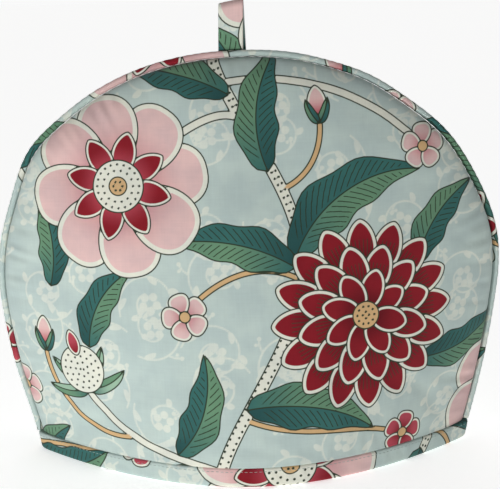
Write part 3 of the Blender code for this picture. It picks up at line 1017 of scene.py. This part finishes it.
def nearestOnRim(grid, rim):
    # for each place of the grid, its distance in from the seam and how far round the seam it is
    inward = leftOf(rim)
    run = lengthAlong(rim)
    distance = np.empty(grid.shape[:2])
    place = np.empty(grid.shape[:2])
    for k, row in enumerate(grid):
        nearest = ((row[:, None, :] - rim[None]) ** 2).sum(-1).argmin(1)
        distance[k] = ((row - rim[nearest]) * inward[nearest]).sum(-1)
        place[k] = run[nearest]
    return np.maximum(distance, 0.0), place


def panelGrid(columns, rows):
    # hem, shoulders and crown as the four borders, from the right foot round to the left
    foot = edging["bandHeight"] + edging["gap"]
    rim = cutBelow(seam, foot)
    steps = panel["rimSteps"]
    fine = spreadEvenly(rim, steps + 1)
    side = int(panel["shoulder"] * steps)
    hem = np.linspace(rim[0, 0], rim[-1, 0], columns + 1)
    low = np.column_stack([hem, np.full(columns + 1, foot)])
    high = spreadEvenly(fine[side:steps + 1 - side], columns + 1)
    first = spreadEvenly(fine[:side + 1], rows + 1)
    last = spreadEvenly(fine[::-1][:side + 1], rows + 1)
    grid = patchBetween(low, high, first, last)
    away, along = nearestOnRim(grid, spreadEvenly(rim, panel["rimPlaces"]))
    return grid[..., 0], grid[..., 1], away, along


def clothPlace(x, z):
    # millimetres across the cloth from the middle line, and up it from the table: the length of
    # the bowed level section, the sum of the root of 1 plus its slope squared, by a table over
    # how deep the bow is for its chord
    chord = halfChord(x, z)
    depth = middleDepth(z) - edging["gap"] / 2 - panel["wallAtSeam"] - panel["puffRise"] / 2
    deepest = 0.8
    narrowest = 0.02
    last = (32, 120)            # of the table's rows and columns
    ratio = np.clip(depth / np.maximum(chord, narrowest), 0.0, deepest)
    share = np.clip(np.abs(x) / np.maximum(chord, 1e-6), 0.0, 1.0)
    slope = openingBow(np.linspace(0.0, 1.0, last[1] + 1))[1]
    ratios = np.linspace(0.0, deepest, last[0] + 1)
    steps = np.sqrt(1.0 + (ratios[:, None] * slope[None]) ** 2)
    summed = np.cumsum((steps[:, 1:] + steps[:, :-1]) / 2, axis=1)
    lengths = np.concatenate([np.zeros((last[0] + 1, 1)), summed], axis=1) / last[1]
    row = ratio / deepest * last[0]
    column = share * last[1]
    r = np.minimum(row.astype(int), last[0] - 1)
    c = np.minimum(column.astype(int), last[1] - 1)
    onRow = row - r
    onColumn = column - c
    low = lengths[r, c] * (1 - onColumn) + lengths[r, c + 1] * onColumn
    high = lengths[r + 1, c] * (1 - onColumn) + lengths[r + 1, c + 1] * onColumn
    return np.sign(x) * chord * mix(low, high, onRow) * 1000, z * panel["clothRise"] * 1000


# relief of the padded cloth, in millimetres except the depths
relief = {
    "gatherDepth": 0.00042,     # metres
    "gathers": (13.4, 61.0),    # a gather's length along the seam, and that of its drift
    "fineGathers": (8.3, 97.0),
    "gatherDrift": (1.7, 2.1),  # radians that each kind drifts by
    "fineShare": 0.6,           # of the fine ones, against the others
    "fineStart": 0.7,           # radians
    "gatherStrength": (83.0, 47.0),
    "strengthStart": 1.3,       # radians
    "strengthRange": (0.55, 0.45),    # its middle, and its swing to each side
    "deepest": 5.5,             # from the seam to a gather's deepest place
    "hemShare": 0.4,            # of the gathers at the hem
    "hemGathersStart": 12.0,    # from the seam, over which they grow
    "dentDepth": 0.0008,        # metres
    "dents": 6,
    "dentLength": (55.0, 120.0),
    "dentStart": 30.0,          # from the seam and the hem, over which they grow
    "seedShift": (31.0, 17.0),  # how far each seed moves the gathers at the seam and at the hem
}


def seamGathers(along, away):
    # small gathers beside a stitched seam: two uneven waves along it, times the distance away
    # and its exponential fall
    long, longDrift = relief["gathers"]
    fine, fineDrift = relief["fineGathers"]
    drift, otherDrift = relief["gatherDrift"]
    wave = np.sin(2 * np.pi * along / long + drift * np.sin(2 * np.pi * along / longDrift))
    shifted = otherDrift * np.sin(2 * np.pi * along / fineDrift)
    fineWave = np.sin(2 * np.pi * along / fine + shifted + relief["fineStart"])
    wave = wave + relief["fineShare"] * fineWave
    strong, weak = relief["gatherStrength"]
    middle, swing = relief["strengthRange"]
    swell = swing * np.sin(2 * np.pi * along / strong + relief["strengthStart"])
    strength = middle + swell * np.sin(2 * np.pi * along / weak)
    return wave * strength * (away / relief["deepest"]) * np.exp(1.0 - away / relief["deepest"])


def softDents(u, v, seed):
    # broad shallow hollows of padded cloth: a third of the sum of long sine waves that cross each
    # other
    rng = np.random.default_rng(seed)
    total = np.zeros_like(u)
    for _ in range(relief["dents"]):
        turn = rng.uniform(0.0, np.pi)
        length = rng.uniform(*relief["dentLength"])
        place = u * np.cos(turn) + v * np.sin(turn)
        total += np.sin(2 * np.pi * place / length + rng.uniform(0.0, 6.0))
    return total / 3.0


# Blender's cloth, pressed out by the wadding behind it
wadding = {
    "cell": 4,                  # fine steps for each cell of the cloth that is simulated
    "frames": 20,
    "pressure": 4.0,
    "slack": 0.008,             # how much larger than its place the cloth was cut, as a share
    "stiffness": 15.0,
    "bending": 0.5,
    "share": 0.42,              # of the movement that is kept, because quilted wadding holds it
    "most": 0.0016,             # metres that a place may move
    "held": 7.0,                # millimetres beside the stitching over which it grows
}


def splineWeights(cells, step):
    # weights that carry values from a coarse row to a fine one: the cubic bell spline of the
    # distance in cells, its rows made to add up to 1
    distance = np.abs(np.arange(cells * step + 1)[:, None] / step - np.arange(cells + 1)[None])
    near = 2 / 3 - distance ** 2 + distance ** 3 / 2
    far = np.clip(2 - distance, 0.0, None) ** 3 / 6
    weights = np.where(distance < 1, near, far)
    return weights / weights.sum(1, keepdims=True)


def pressedOut(grid, facing):
    # how far the outer cloth moves when it is held at the seam and the hem and pressed out by the
    # wadding: Blender's own cloth on every fourth place, then carried to all of them; a movement
    # is bent to its most by the hyperbolic tangent
    step = wadding["cell"]
    coarse = grid[::step, ::step]
    rows, columns = coarse.shape[:2]
    faces = gridFaces(rows, columns, turned=facing < 0)
    sheet = makePiece("clothUnderPressure", coarse.reshape(-1, 3), faces, [])
    sheet.vertex_groups.new(name="held").add(borderOf(rows, columns).tolist(), 1.0, "REPLACE")
    cloth = sheet.modifiers.new("cloth", "CLOTH")
    cloth.point_cache.frame_end = wadding["frames"]
    settings = cloth.settings
    settings.vertex_group_mass = "held"
    settings.use_pressure = True
    settings.uniform_pressure_force = wadding["pressure"]
    settings.shrink_min = -wadding["slack"]
    settings.tension_stiffness = wadding["stiffness"]
    settings.compression_stiffness = wadding["stiffness"]
    settings.shear_stiffness = wadding["stiffness"] / 3
    settings.bending_stiffness = wadding["bending"]
    settings.effector_weights.gravity = 0.0
    scene = bpy.context.scene
    for number in range(1, wadding["frames"] + 1):
        scene.frame_set(number)
    settled = sheet.evaluated_get(bpy.context.evaluated_depsgraph_get()).data
    places = np.empty(3 * rows * columns, np.float32)
    settled.vertices.foreach_get("co", places)
    scene.frame_set(1)
    mesh = sheet.data
    bpy.data.objects.remove(sheet)
    bpy.data.meshes.remove(mesh)
    moved = (places.reshape(coarse.shape) - coarse) * wadding["share"]
    length = np.linalg.norm(moved, axis=-1, keepdims=True)
    moved *= wadding["most"] * np.tanh(length / wadding["most"]) / np.maximum(length, 1e-9)
    up = splineWeights(rows - 1, step)
    across = splineWeights(columns - 1, step)
    return np.einsum("ri,ijk,cj->rck", up, moved, across)


def joinedSheets(rows, columns, step, facing):
    # faces of a fine outer sheet, a coarse inner one and the walls between their borders, where
    # each wall takes in one step of the inner sheet; and which material each face has
    innerRows = (rows - 1) // step + 1
    innerColumns = (columns - 1) // step + 1
    start = rows * columns
    outer = gridFaces(rows, columns, turned=facing < 0)
    inner = gridFaces(innerRows, innerColumns, start, turned=facing > 0)
    border = borderOf(rows, columns)
    innerBorder = borderOf(innerRows, innerColumns, start)
    ring = np.stack([np.roll(border, -k)[::step] for k in range(step + 1)], -1)
    walls = np.column_stack([ring, np.roll(innerBorder, -1), innerBorder])
    walls = walls if facing < 0 else walls[:, ::-1]
    faces = outer.tolist() + inner.tolist() + walls.tolist()
    return faces, [0] * len(outer) + [1] * len(inner) + [0] * len(walls)


def addPanel(name, facing, shift, seed):
    # the outer sheet is the panel's depth plus gathers beside the seam and the hem, dents, and
    # what the wadding presses out; the inner one is plain
    x, z, away, along = panelGrid(panel["columns"], panel["rows"])
    outer, inner = panelDepths(x, z, away)
    u, v = clothPlace(x, z)
    fromSeam = away * 1000
    aboveHem = (z - edging["bandHeight"]) * 1000
    atSeam, atHem = relief["seedShift"]
    gathers = seamGathers(along * 1000 + seed * atSeam, fromSeam)
    hemGathers = relief["hemShare"] * seamGathers(u + seed * atHem, aboveHem)
    gathers = gathers + hemGathers * smooth(fromSeam / relief["hemGathersStart"])
    grown = smooth(fromSeam / relief["dentStart"])
    dents = softDents(u, v, seed) * grown * smooth(aboveHem / relief["dentStart"])
    outer = outer + relief["gatherDepth"] * gathers + relief["dentDepth"] * dents
    outerCloth = np.stack([x, facing * outer, z], -1)
    free = smooth(fromSeam / wadding["held"]) * smooth(aboveHem / wadding["held"])
    outerCloth = outerCloth + free[..., None] * pressedOut(outerCloth, facing)
    print(name, "pressed out by its wadding")
    step = panel["coarse"]
    innerCloth = np.stack([x, facing * inner, z], -1)[::step, ::step]
    faces, which = joinedSheets(*x.shape, step, facing)
    points = np.concatenate([outerCloth.reshape(-1, 3), innerCloth.reshape(-1, 3)])
    piece = makePiece(name, points, faces, [panelCotton, insideCotton], which)
    allU = np.concatenate([u.ravel(), u[::step, ::step].ravel()])
    allV = np.concatenate([v.ravel(), v[::step, ::step].ravel()])
    carryPrint(piece, -facing * allU, allV, shift=shift)
    return piece


frontPanel = addPanel("frontPanel", facing=-1, shift=(0.0, 0.0), seed=3)
backPanel = addPanel("backPanel", facing=1, shift=(131.0, 48.0), seed=5)
print("panels made")


# piping: cloth cut on the cross over a cord, so that the print crosses it in short pieces
piping = {
    "stepsAlong": 900,
    "stepsRound": 20,
    "ripple": 0.00009,          # metres
    "rippleLength": 6.1,        # millimetres
    "rippleDrift": 43.0,        # millimetres of the slow wave that makes it uneven
    "rippleWander": 1.2,        # radians
    "printTurn": 45.0,          # degrees
    "printShift": (222.0, 216.0),    # millimetres
}


def addPiping(name):
    # a round tube along the arch: its radius is the cord's plus a fine ripple that slants round
    # it, a sine of the length along plus the turn, where the crosswise cloth is drawn over it
    cord = edging["pipingRadius"]
    middle = cutBelow(inset(outline, cord), edging["bandHeight"] + 3 * edging["gap"])
    route = spreadEvenly(middle, piping["stepsAlong"] + 1)
    outward = -leftOf(route)
    run = lengthAlong(route) * 1000
    turn = 2 * np.pi * np.arange(piping["stepsRound"]) / piping["stepsRound"]
    drift = piping["rippleWander"] * np.sin(2 * np.pi * run[:, None] / piping["rippleDrift"])
    slant = 2 * np.pi * run[:, None] / piping["rippleLength"] + drift + turn[None]
    radius = cord + piping["ripple"] * np.sin(slant)
    x = route[:, 0:1] + radius * np.cos(turn) * outward[:, 0:1]
    z = route[:, 1:2] + radius * np.cos(turn) * outward[:, 1:2]
    y = radius * np.sin(turn) * np.ones_like(x)
    sections = np.stack([x, y, z], -1)
    piece = makePiece(name, sections.reshape(-1, 3), closedTube(sections), [panelCotton])
    # the cloth's two edges meet on the inner side, in the seam
    roundCord = cord * 1000 * (np.mod(turn + np.pi, 2 * np.pi) - np.pi)
    u = np.repeat(run, len(turn))
    v = np.tile(roundCord, len(run))
    carryPrint(piece, u, v, piping["printTurn"], piping["printShift"])
    return piece


edgePiping = addPiping("edgePiping")
print("piping made")


# the band that binds the hem, in metres
band = {
    "thickness": 0.0086,
    "rounding": 0.0026,         # at the foot
    "foldRounding": 0.0012,     # where the cloth turns in against the panel
    "cornerSpread": 0.005,
    "reach": 0.1486,
    "flare": 0.0020,
    "planSteps": 1600,
    "averaged": 60,             # plan steps to each side that a corner is averaged over
    "stepsAround": 700,
    "stepsRound": 48,
    "ripple": 0.00022,
    "rippleHeight": 0.0085,     # above the table
    "rippleSpread": 0.0032,
    "rippleLengths": (11.3, 71.0, 27.0),    # millimetres: the ripple, its drift and a longer one
    "rippleWander": 1.6,        # radians that it drifts by
    "longRipple": (0.6, 0.8),   # the longer one's share of it, and its start in radians
    "printShift": (62.0, 176.0),    # millimetres
}


def bandPlan(reach, halfDepth):
    # closed middle line seen from above: two bows with the corners averaged by a bell
    share = np.linspace(1.0, -1.0, band["planSteps"] // 2 + 1)
    bow = openingBow(np.abs(share))[0]
    front = np.column_stack([reach * share, -(halfDepth - band["thickness"] / 2) * bow])
    closed = np.vstack([front, -front[1:-1], front[:1]])
    even = spreadEvenly(closed, band["planSteps"] + 1)[:-1]
    offsets = np.arange(-band["averaged"], band["averaged"] + 1)
    weight = np.exp(-(offsets * np.linalg.norm(even[1] - even[0]) / band["cornerSpread"]) ** 2)
    weight /= weight.sum()
    rounded = sum(w * np.roll(even, offset, axis=0) for w, offset in zip(weight, offsets))
    rounded[:, 0] *= (reach - band["thickness"] / 2) / rounded[:, 0].max()
    closed = np.vstack([rounded, rounded[:1]])
    return spreadEvenly(closed, band["stepsAround"] + 1)[:-1]


def bandSection():
    # rounded upright oblong, flat below, evenly stepped from the outer foot: out, and up
    half = band["thickness"] / 2
    height = edging["bandHeight"]
    foot = band["rounding"]
    fold = band["foldRounding"]
    corners = [
        (half - foot, foot, -90.0, foot),
        (half - fold, height - fold, 0.0, fold),
        (fold - half, height - fold, 90.0, fold),
        (foot - half, foot, 180.0, foot),
    ]
    points = []
    for out, up, start, radius in corners:
        angle = np.radians(start + np.linspace(0.0, 90.0, 9))
        points.append(np.column_stack([out + radius * np.cos(angle), up + radius * np.sin(angle)]))
    ring = np.vstack(points + [points[0][:1]])
    return spreadEvenly(ring, band["stepsRound"] + 1)[:-1]


def bandSurface(section):
    # the section carried round a plan that leans in with the panels as it rises
    out = section[None, :, 0]
    up = section[None, :, 1]
    low = bandPlan(band["reach"], opening["halfDepth"])
    depth = middleDepth(edging["bandHeight"]) + edging["bandProud"]
    high = bandPlan(band["reach"] + band["flare"], depth)
    along = np.roll(low, -1, axis=0) - np.roll(low, 1, axis=0)
    along /= np.linalg.norm(along, axis=1)[:, None]
    outward = np.column_stack([along[:, 1], -along[:, 0]])
    run = lengthAlong(low) * 1000
    risen = up[..., None] / edging["bandHeight"]
    plan = low[:, None, :] + risen * (high - low)[:, None, :]
    # the folded cloth draws in a little between the stitches near the band's upper edge
    short, drift, long = band["rippleLengths"]
    wander = band["rippleWander"] * np.sin(2 * np.pi * run / drift)
    ripple = np.sin(2 * np.pi * run / short + wander)[:, None]
    share, start = band["longRipple"]
    ripple = ripple + share * np.sin(2 * np.pi * run / long + start)[:, None]
    near = np.exp(-((up - band["rippleHeight"]) / band["rippleSpread"]) ** 2) * np.sign(out)
    out = out + band["ripple"] * ripple * near
    flat = plan + out[..., None] * outward[:, None, :]
    height = np.broadcast_to(up[..., None], (*flat.shape[:2], 1))
    return np.concatenate([flat, height], -1), run, outward


def addBand(name):
    # one closed ring, its cloth running round the hem and up over the fold
    section = bandSection()
    ring, run, outward = bandSurface(section)
    index = np.arange(ring.shape[0] * ring.shape[1]).reshape(ring.shape[:2])
    onward = np.roll(index, -1, axis=0)
    corners = [index, onward, np.roll(onward, -1, axis=1), np.roll(index, -1, axis=1)]
    faces = np.stack(corners, -1).reshape(-1, 4)
    piece = makePiece(name, ring.reshape(-1, 3), faces.tolist(), [panelCotton])
    u = np.repeat(run, len(section))
    v = np.tile(lengthAlong(section) * 1000, len(run))
    carryPrint(piece, -u, v, shift=band["printShift"])
    return piece, ring, section, outward


hemBand, bandRing, bandProfile, bandOutward = addBand("hemBand")
print("hem band made")


# the stitches that hold the band, in millimetres except the height
stitches = {
    "pitch": 3.1,               # from one stitch to the next
    "length": 2.3,
    "thickness": 0.34,
    "height": 0.0103,           # metres above the table
    "face": 0.9,                # share of the band's half thickness past which its face starts
    "sunk": 0.3,                # share of the thickness that lies in the cloth
    "dip": 0.75,                # thicknesses that its ends dip by
    "taper": 0.55,              # share of the thickness that its ends lose
    "sides": 6,
    "steps": 6,
}


def stitchRow(path, outward):
    # a run of stitches on a closed path: each a low arc of thread whose rise falls as the fourth
    # power towards both ends, where it dips into the cloth, and its radius as the sixth
    closedPath = np.vstack([path, path[:1]])
    closedOut = np.vstack([outward, outward[:1]])
    run = lengthAlong(closedPath) * 1000
    count = int(run[-1] / stitches["pitch"])
    share = np.linspace(-1.0, 1.0, stitches["steps"] + 1)
    centre = (np.arange(count)[:, None] + 0.5) * run[-1] / count
    place = centre + share[None] * stitches["length"] / 2
    middle = np.stack([np.interp(place, run, column) for column in closedPath.T], -1)
    out = np.stack([np.interp(place, run, column) for column in closedOut.T], -1)
    out /= np.linalg.norm(out, axis=-1, keepdims=True)
    ahead = np.stack([np.interp(place + 0.1, run, column) for column in closedPath.T], -1) - middle
    ahead /= np.linalg.norm(ahead, axis=-1, keepdims=True)
    side = np.cross(ahead, out)
    radius = stitches["thickness"] / 2000 * (1.0 - share ** 6 * stitches["taper"])
    rise = stitches["thickness"] / 1000 * (0.5 - stitches["sunk"] - stitches["dip"] * share ** 4)
    turn = 2 * np.pi * np.arange(stitches["sides"]) / stitches["sides"]
    middle = middle + rise[None, :, None] * out
    turned = turn[None, None, :, None]
    ring = out[:, :, None] * np.cos(turned) + side[:, :, None] * np.sin(turned)
    points = middle[:, :, None] + radius[None, :, None, None] * ring
    along = np.broadcast_to(place[:, :, None], points.shape[:3])
    around = np.broadcast_to(turn * stitches["thickness"] / 2, points.shape[:3])
    return points, along, around


def addStitches(name, rows):
    # every stitch is a closed tube; along and around give its thread's own map
    points = []
    faces = []
    along = []
    around = []
    start = 0
    for path, outward in rows:
        row, rowAlong, rowAround = stitchRow(path, outward)
        tube = closedTube(row[0])
        for stitch in row:
            faces += [[start + place for place in face] for face in tube]
            start += stitch.shape[0] * stitch.shape[1]
        points.append(row.reshape(-1, 3))
        along.append(rowAlong.ravel())
        around.append(rowAround.ravel())
    piece = makePiece(name, np.concatenate(points), faces, [stitchThread])
    setPlace(piece, np.concatenate(along), np.concatenate(around))
    return piece


# one row on the band's outer face, and one on the face inside
upright = np.column_stack([bandOutward, np.zeros(len(bandOutward))])
rows = []
for hand in (1, -1):
    onFace = np.flatnonzero(hand * bandProfile[:, 0] > stitches["face"] * band["thickness"] / 2)
    place = onFace[np.abs(bandProfile[onFace, 1] - stitches["height"]).argmin()]
    rows.append((bandRing[:, place], hand * upright))
hemStitches = addStitches("hemStitches", rows)
print("stitches made")


# the hanging loop, in metres
loop = {
    "middleX": -0.0070,
    "width": 0.0164,
    "clothLength": 0.076,       # of the strip, laid flat
    "cloth": 0.0015,
    "top": 0.3046,
    "drift": 0.0022,            # how far across the loop's end lies from its start
    "slant": 0.17,
    "halfGap": 0.0039,
    "parted": 0.6,              # share of a leg's height over which the legs part
    "partingPower": 1.4,
    "stitched": 0.30,           # how much thinner the strip is under its two rows of stitches
    "stitchedAt": 0.74,         # share of the half width
    "stitchedSpread": 0.07,
    "edgePower": 14,            # of the strip's section, more is squarer
    "legPoints": 120,
    "stepsAlong": 150,
    "stepsAcross": 60,
    "printTurn": 270.0,         # degrees
    "printShift": (160.0, 80.0),    # millimetres
}


def loopRoute(baseHeight, frontY):
    # the strip's middle line from the side: two legs that part as a power of a sine, joined by
    # half a circle at the top
    rearY = frontY + loop["cloth"] + edging["gap"]
    middleY = (frontY + rearY) / 2
    foldHeight = loop["top"] - loop["cloth"] / 2 - loop["halfGap"]
    rise = np.linspace(0.0, 1.0, loop["legPoints"])
    legZ = baseHeight + (foldHeight - baseHeight) * rise
    shut = np.pi / 2 * np.clip(rise / loop["parted"], 0.0, 1.0)
    parting = np.sin(shut) ** loop["partingPower"]
    spread = (rearY - frontY) / 2 + (loop["halfGap"] - (rearY - frontY) / 2) * parting
    turn = np.linspace(np.pi, 0.0, loop["legPoints"] // 2)[1:-1]
    fold = loop["halfGap"] * np.column_stack([np.cos(turn), np.sin(turn)]) + [middleY, foldHeight]
    front = np.column_stack([middleY - spread, legZ])
    rear = np.column_stack([middleY + spread, legZ])[::-1]
    return spreadEvenly(np.vstack([front, fold, rear]), loop["stepsAlong"] + 1)


def addLoop(name):
    # a flat strip carried along its route, drifting to the right and slanting as it rises
    cord = edging["pipingRadius"]
    route = loopRoute(seamTop + 2 * edging["gap"], cord + edging["gap"] + loop["cloth"] / 2)
    normal = leftOf(route)
    share = np.linspace(0.0, 1.0, len(route))
    middleX = loop["middleX"] + loop["drift"] * (share - 0.5)
    risen = np.clip((route[:, 1] - seamTop) / (loop["top"] - seamTop), 0.0, 1.0)
    # the strip's section, four layers of cloth: an oblong with round folded edges, less a bell at
    # each row of stitches
    across = np.linspace(-1.0, 1.0, loop["stepsAcross"] // 2)
    halfThick = loop["cloth"] / 2 * (1.0 - np.abs(across) ** loop["edgePower"]) ** 0.5
    fromStitches = (np.abs(across) - loop["stitchedAt"]) / loop["stitchedSpread"]
    halfThick = halfThick * (1.0 - loop["stitched"] * np.exp(-fromStitches ** 2))
    ringThick = np.concatenate([halfThick, -halfThick[-2:0:-1]])
    half = loop["width"] / 2 * np.concatenate([across, across[-2:0:-1]])
    lift = loop["slant"] * half[None, :] * risen[:, None]
    x = middleX[:, None] + half[None, :]
    y = route[:, 0:1] + ringThick[None, :] * normal[:, 0:1]
    z = route[:, 1:2] + ringThick[None, :] * normal[:, 1:2] + lift
    sections = np.stack([x, y, z], -1)
    piece = makePiece(name, sections.reshape(-1, 3), closedTube(sections), [panelCotton])
    # the cloth wraps round from the outer face over the left edge, and ends in a seam on the right
    outerFace = np.arange(len(half)) < len(across)
    clothAcross = np.where(outerFace, half, -loop["width"] - half)
    u = np.tile(clothAcross * 1000, len(share))
    v = np.repeat(share * (loop["clothLength"] * 1000), len(half))
    carryPrint(piece, u, v, loop["printTurn"], loop["printShift"])
    return piece


hangingLoop = addLoop("hangingLoop")
print("loop made")


# what each piece stands for in the frame
standsFor = [
    (frontPanel, "front_panel", "printed_panel"),
    (backPanel, "back_panel", "printed_panel"),
    (edgePiping, "edge_piping", "printed_piping"),
    (hemBand, "hem_band", "printed_band"),
    (hangingLoop, "hanging_loop", "printed_loop"),
]
for piece, node, slot in standsFor:
    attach(piece, "root")
    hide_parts(node)
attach(hemStitches, "root")
print("pieces set on the frame")


# a white floor lit from the low left, and a broad light from above and behind for the far side
studio = {
    "floorColour": "f3f3f2",
    "floorRoughness": 0.95,
    "floorGlow": 0.65,
    "floorReach": 12.0,
    "skyLight": 0.05,
    "skySeen": 0.95,
    "keyPlace": (-0.36, -0.75, 0.06),
    "keySize": 0.12,
    "keyPower": 2.95,
    "keyAim": (0.0, 0.0, 0.1),
    "aboveFrom": (0.15, 0.55, 1.0),
    "abovePower": 1.0,
    "aboveSpread": 75.0,        # degrees of sky that it fills
}


def addFloor():
    # white paper, matt; a weak glow stands for the light that the rest of a white studio returns
    reach = studio["floorReach"]
    corners = [(-reach, -reach, 0.0), (reach, -reach, 0.0), (reach, reach, 0.0), (-reach, reach, 0.0)]
    mesh = bpy.data.meshes.new("floor")
    mesh.from_pydata(corners, [], [(0, 1, 2, 3)])
    colour = hexToLinear(studio["floorColour"])
    paper, _, shader = startMaterial("whiteStudioPaper", colour, studio["floorRoughness"])
    shader.inputs["Specular IOR Level"].default_value = 0.0
    shader.inputs["Emission Color"].default_value = (1.0, 1.0, 1.0, 1.0)
    shader.inputs["Emission Strength"].default_value = studio["floorGlow"]
    mesh.materials.append(paper)
    floor = bpy.data.objects.new("floor", mesh)
    bpy.context.scene.collection.objects.link(floor)


def addLight(name, kind, settings, place, aim):
    # a light at a place, turned so that it shines towards its aim
    data = bpy.data.lights.new(name, kind)
    for setting, value in settings.items():
        setattr(data, setting, value)
    light = bpy.data.objects.new(name, data)
    bpy.context.scene.collection.objects.link(light)
    light.location = place
    light.rotation_euler = (Vector(aim) - Vector(place)).to_track_quat("-Z", "Y").to_euler()


def addSky():
    # white where it is seen, weak where it lights
    world = bpy.data.worlds.new("studio")
    world.use_nodes = True
    tree = world.node_tree
    path = addNode(tree, "ShaderNodeLightPath")
    seen = path.outputs["Is Camera Ray"]
    inputs = {"Value": seen, "To Min": studio["skyLight"], "To Max": studio["skySeen"]}
    strength = addNode(tree, "ShaderNodeMapRange", inputs)
    background = tree.nodes["Background"]
    background.inputs["Color"].default_value = (1.0, 1.0, 1.0, 1.0)
    tree.links.new(strength.outputs["Result"], background.inputs["Strength"])
    bpy.context.scene.world = world


# in metres and degrees
camera = {
    "distance": 0.850,
    "elevation": 13.0,
    "height": 0.135,            # of the point that the distance and the elevation are taken from
    "aim": (0.0012, 0.0, 0.1417),
    "lens": 89.9,
    "roll": -1.56,
}


def addCamera():
    # in front and a little above, turned to its aim and then rolled about its own view
    data = bpy.data.cameras.new("camera")
    data.lens = camera["lens"]
    data.sensor_width = 36.0
    viewer = bpy.data.objects.new("camera", data)
    bpy.context.scene.collection.objects.link(viewer)
    up = np.radians(camera["elevation"])
    away = camera["distance"]
    viewer.location = (0.0, -away * np.cos(up), camera["height"] + away * np.sin(up))
    look = (Vector(camera["aim"]) - viewer.location).to_track_quat("-Z", "Y").to_matrix()
    roll = Matrix.Rotation(np.radians(camera["roll"]), 3, "Z")
    viewer.rotation_euler = (look @ roll).to_euler()
    bpy.context.scene.camera = viewer


addFloor()
keySettings = {"shape": "DISK", "size": studio["keySize"], "energy": studio["keyPower"]}
addLight("keyFromLowLeft", "AREA", keySettings, studio["keyPlace"], studio["keyAim"])
aboveSettings = {"energy": studio["abovePower"], "angle": np.radians(studio["aboveSpread"])}
addLight("softLightAbove", "SUN", aboveSettings, studio["aboveFrom"], (0.0, 0.0, 0.0))
addSky()
addCamera()
bpy.context.scene.view_settings.view_transform = "Standard"
print("studio made")
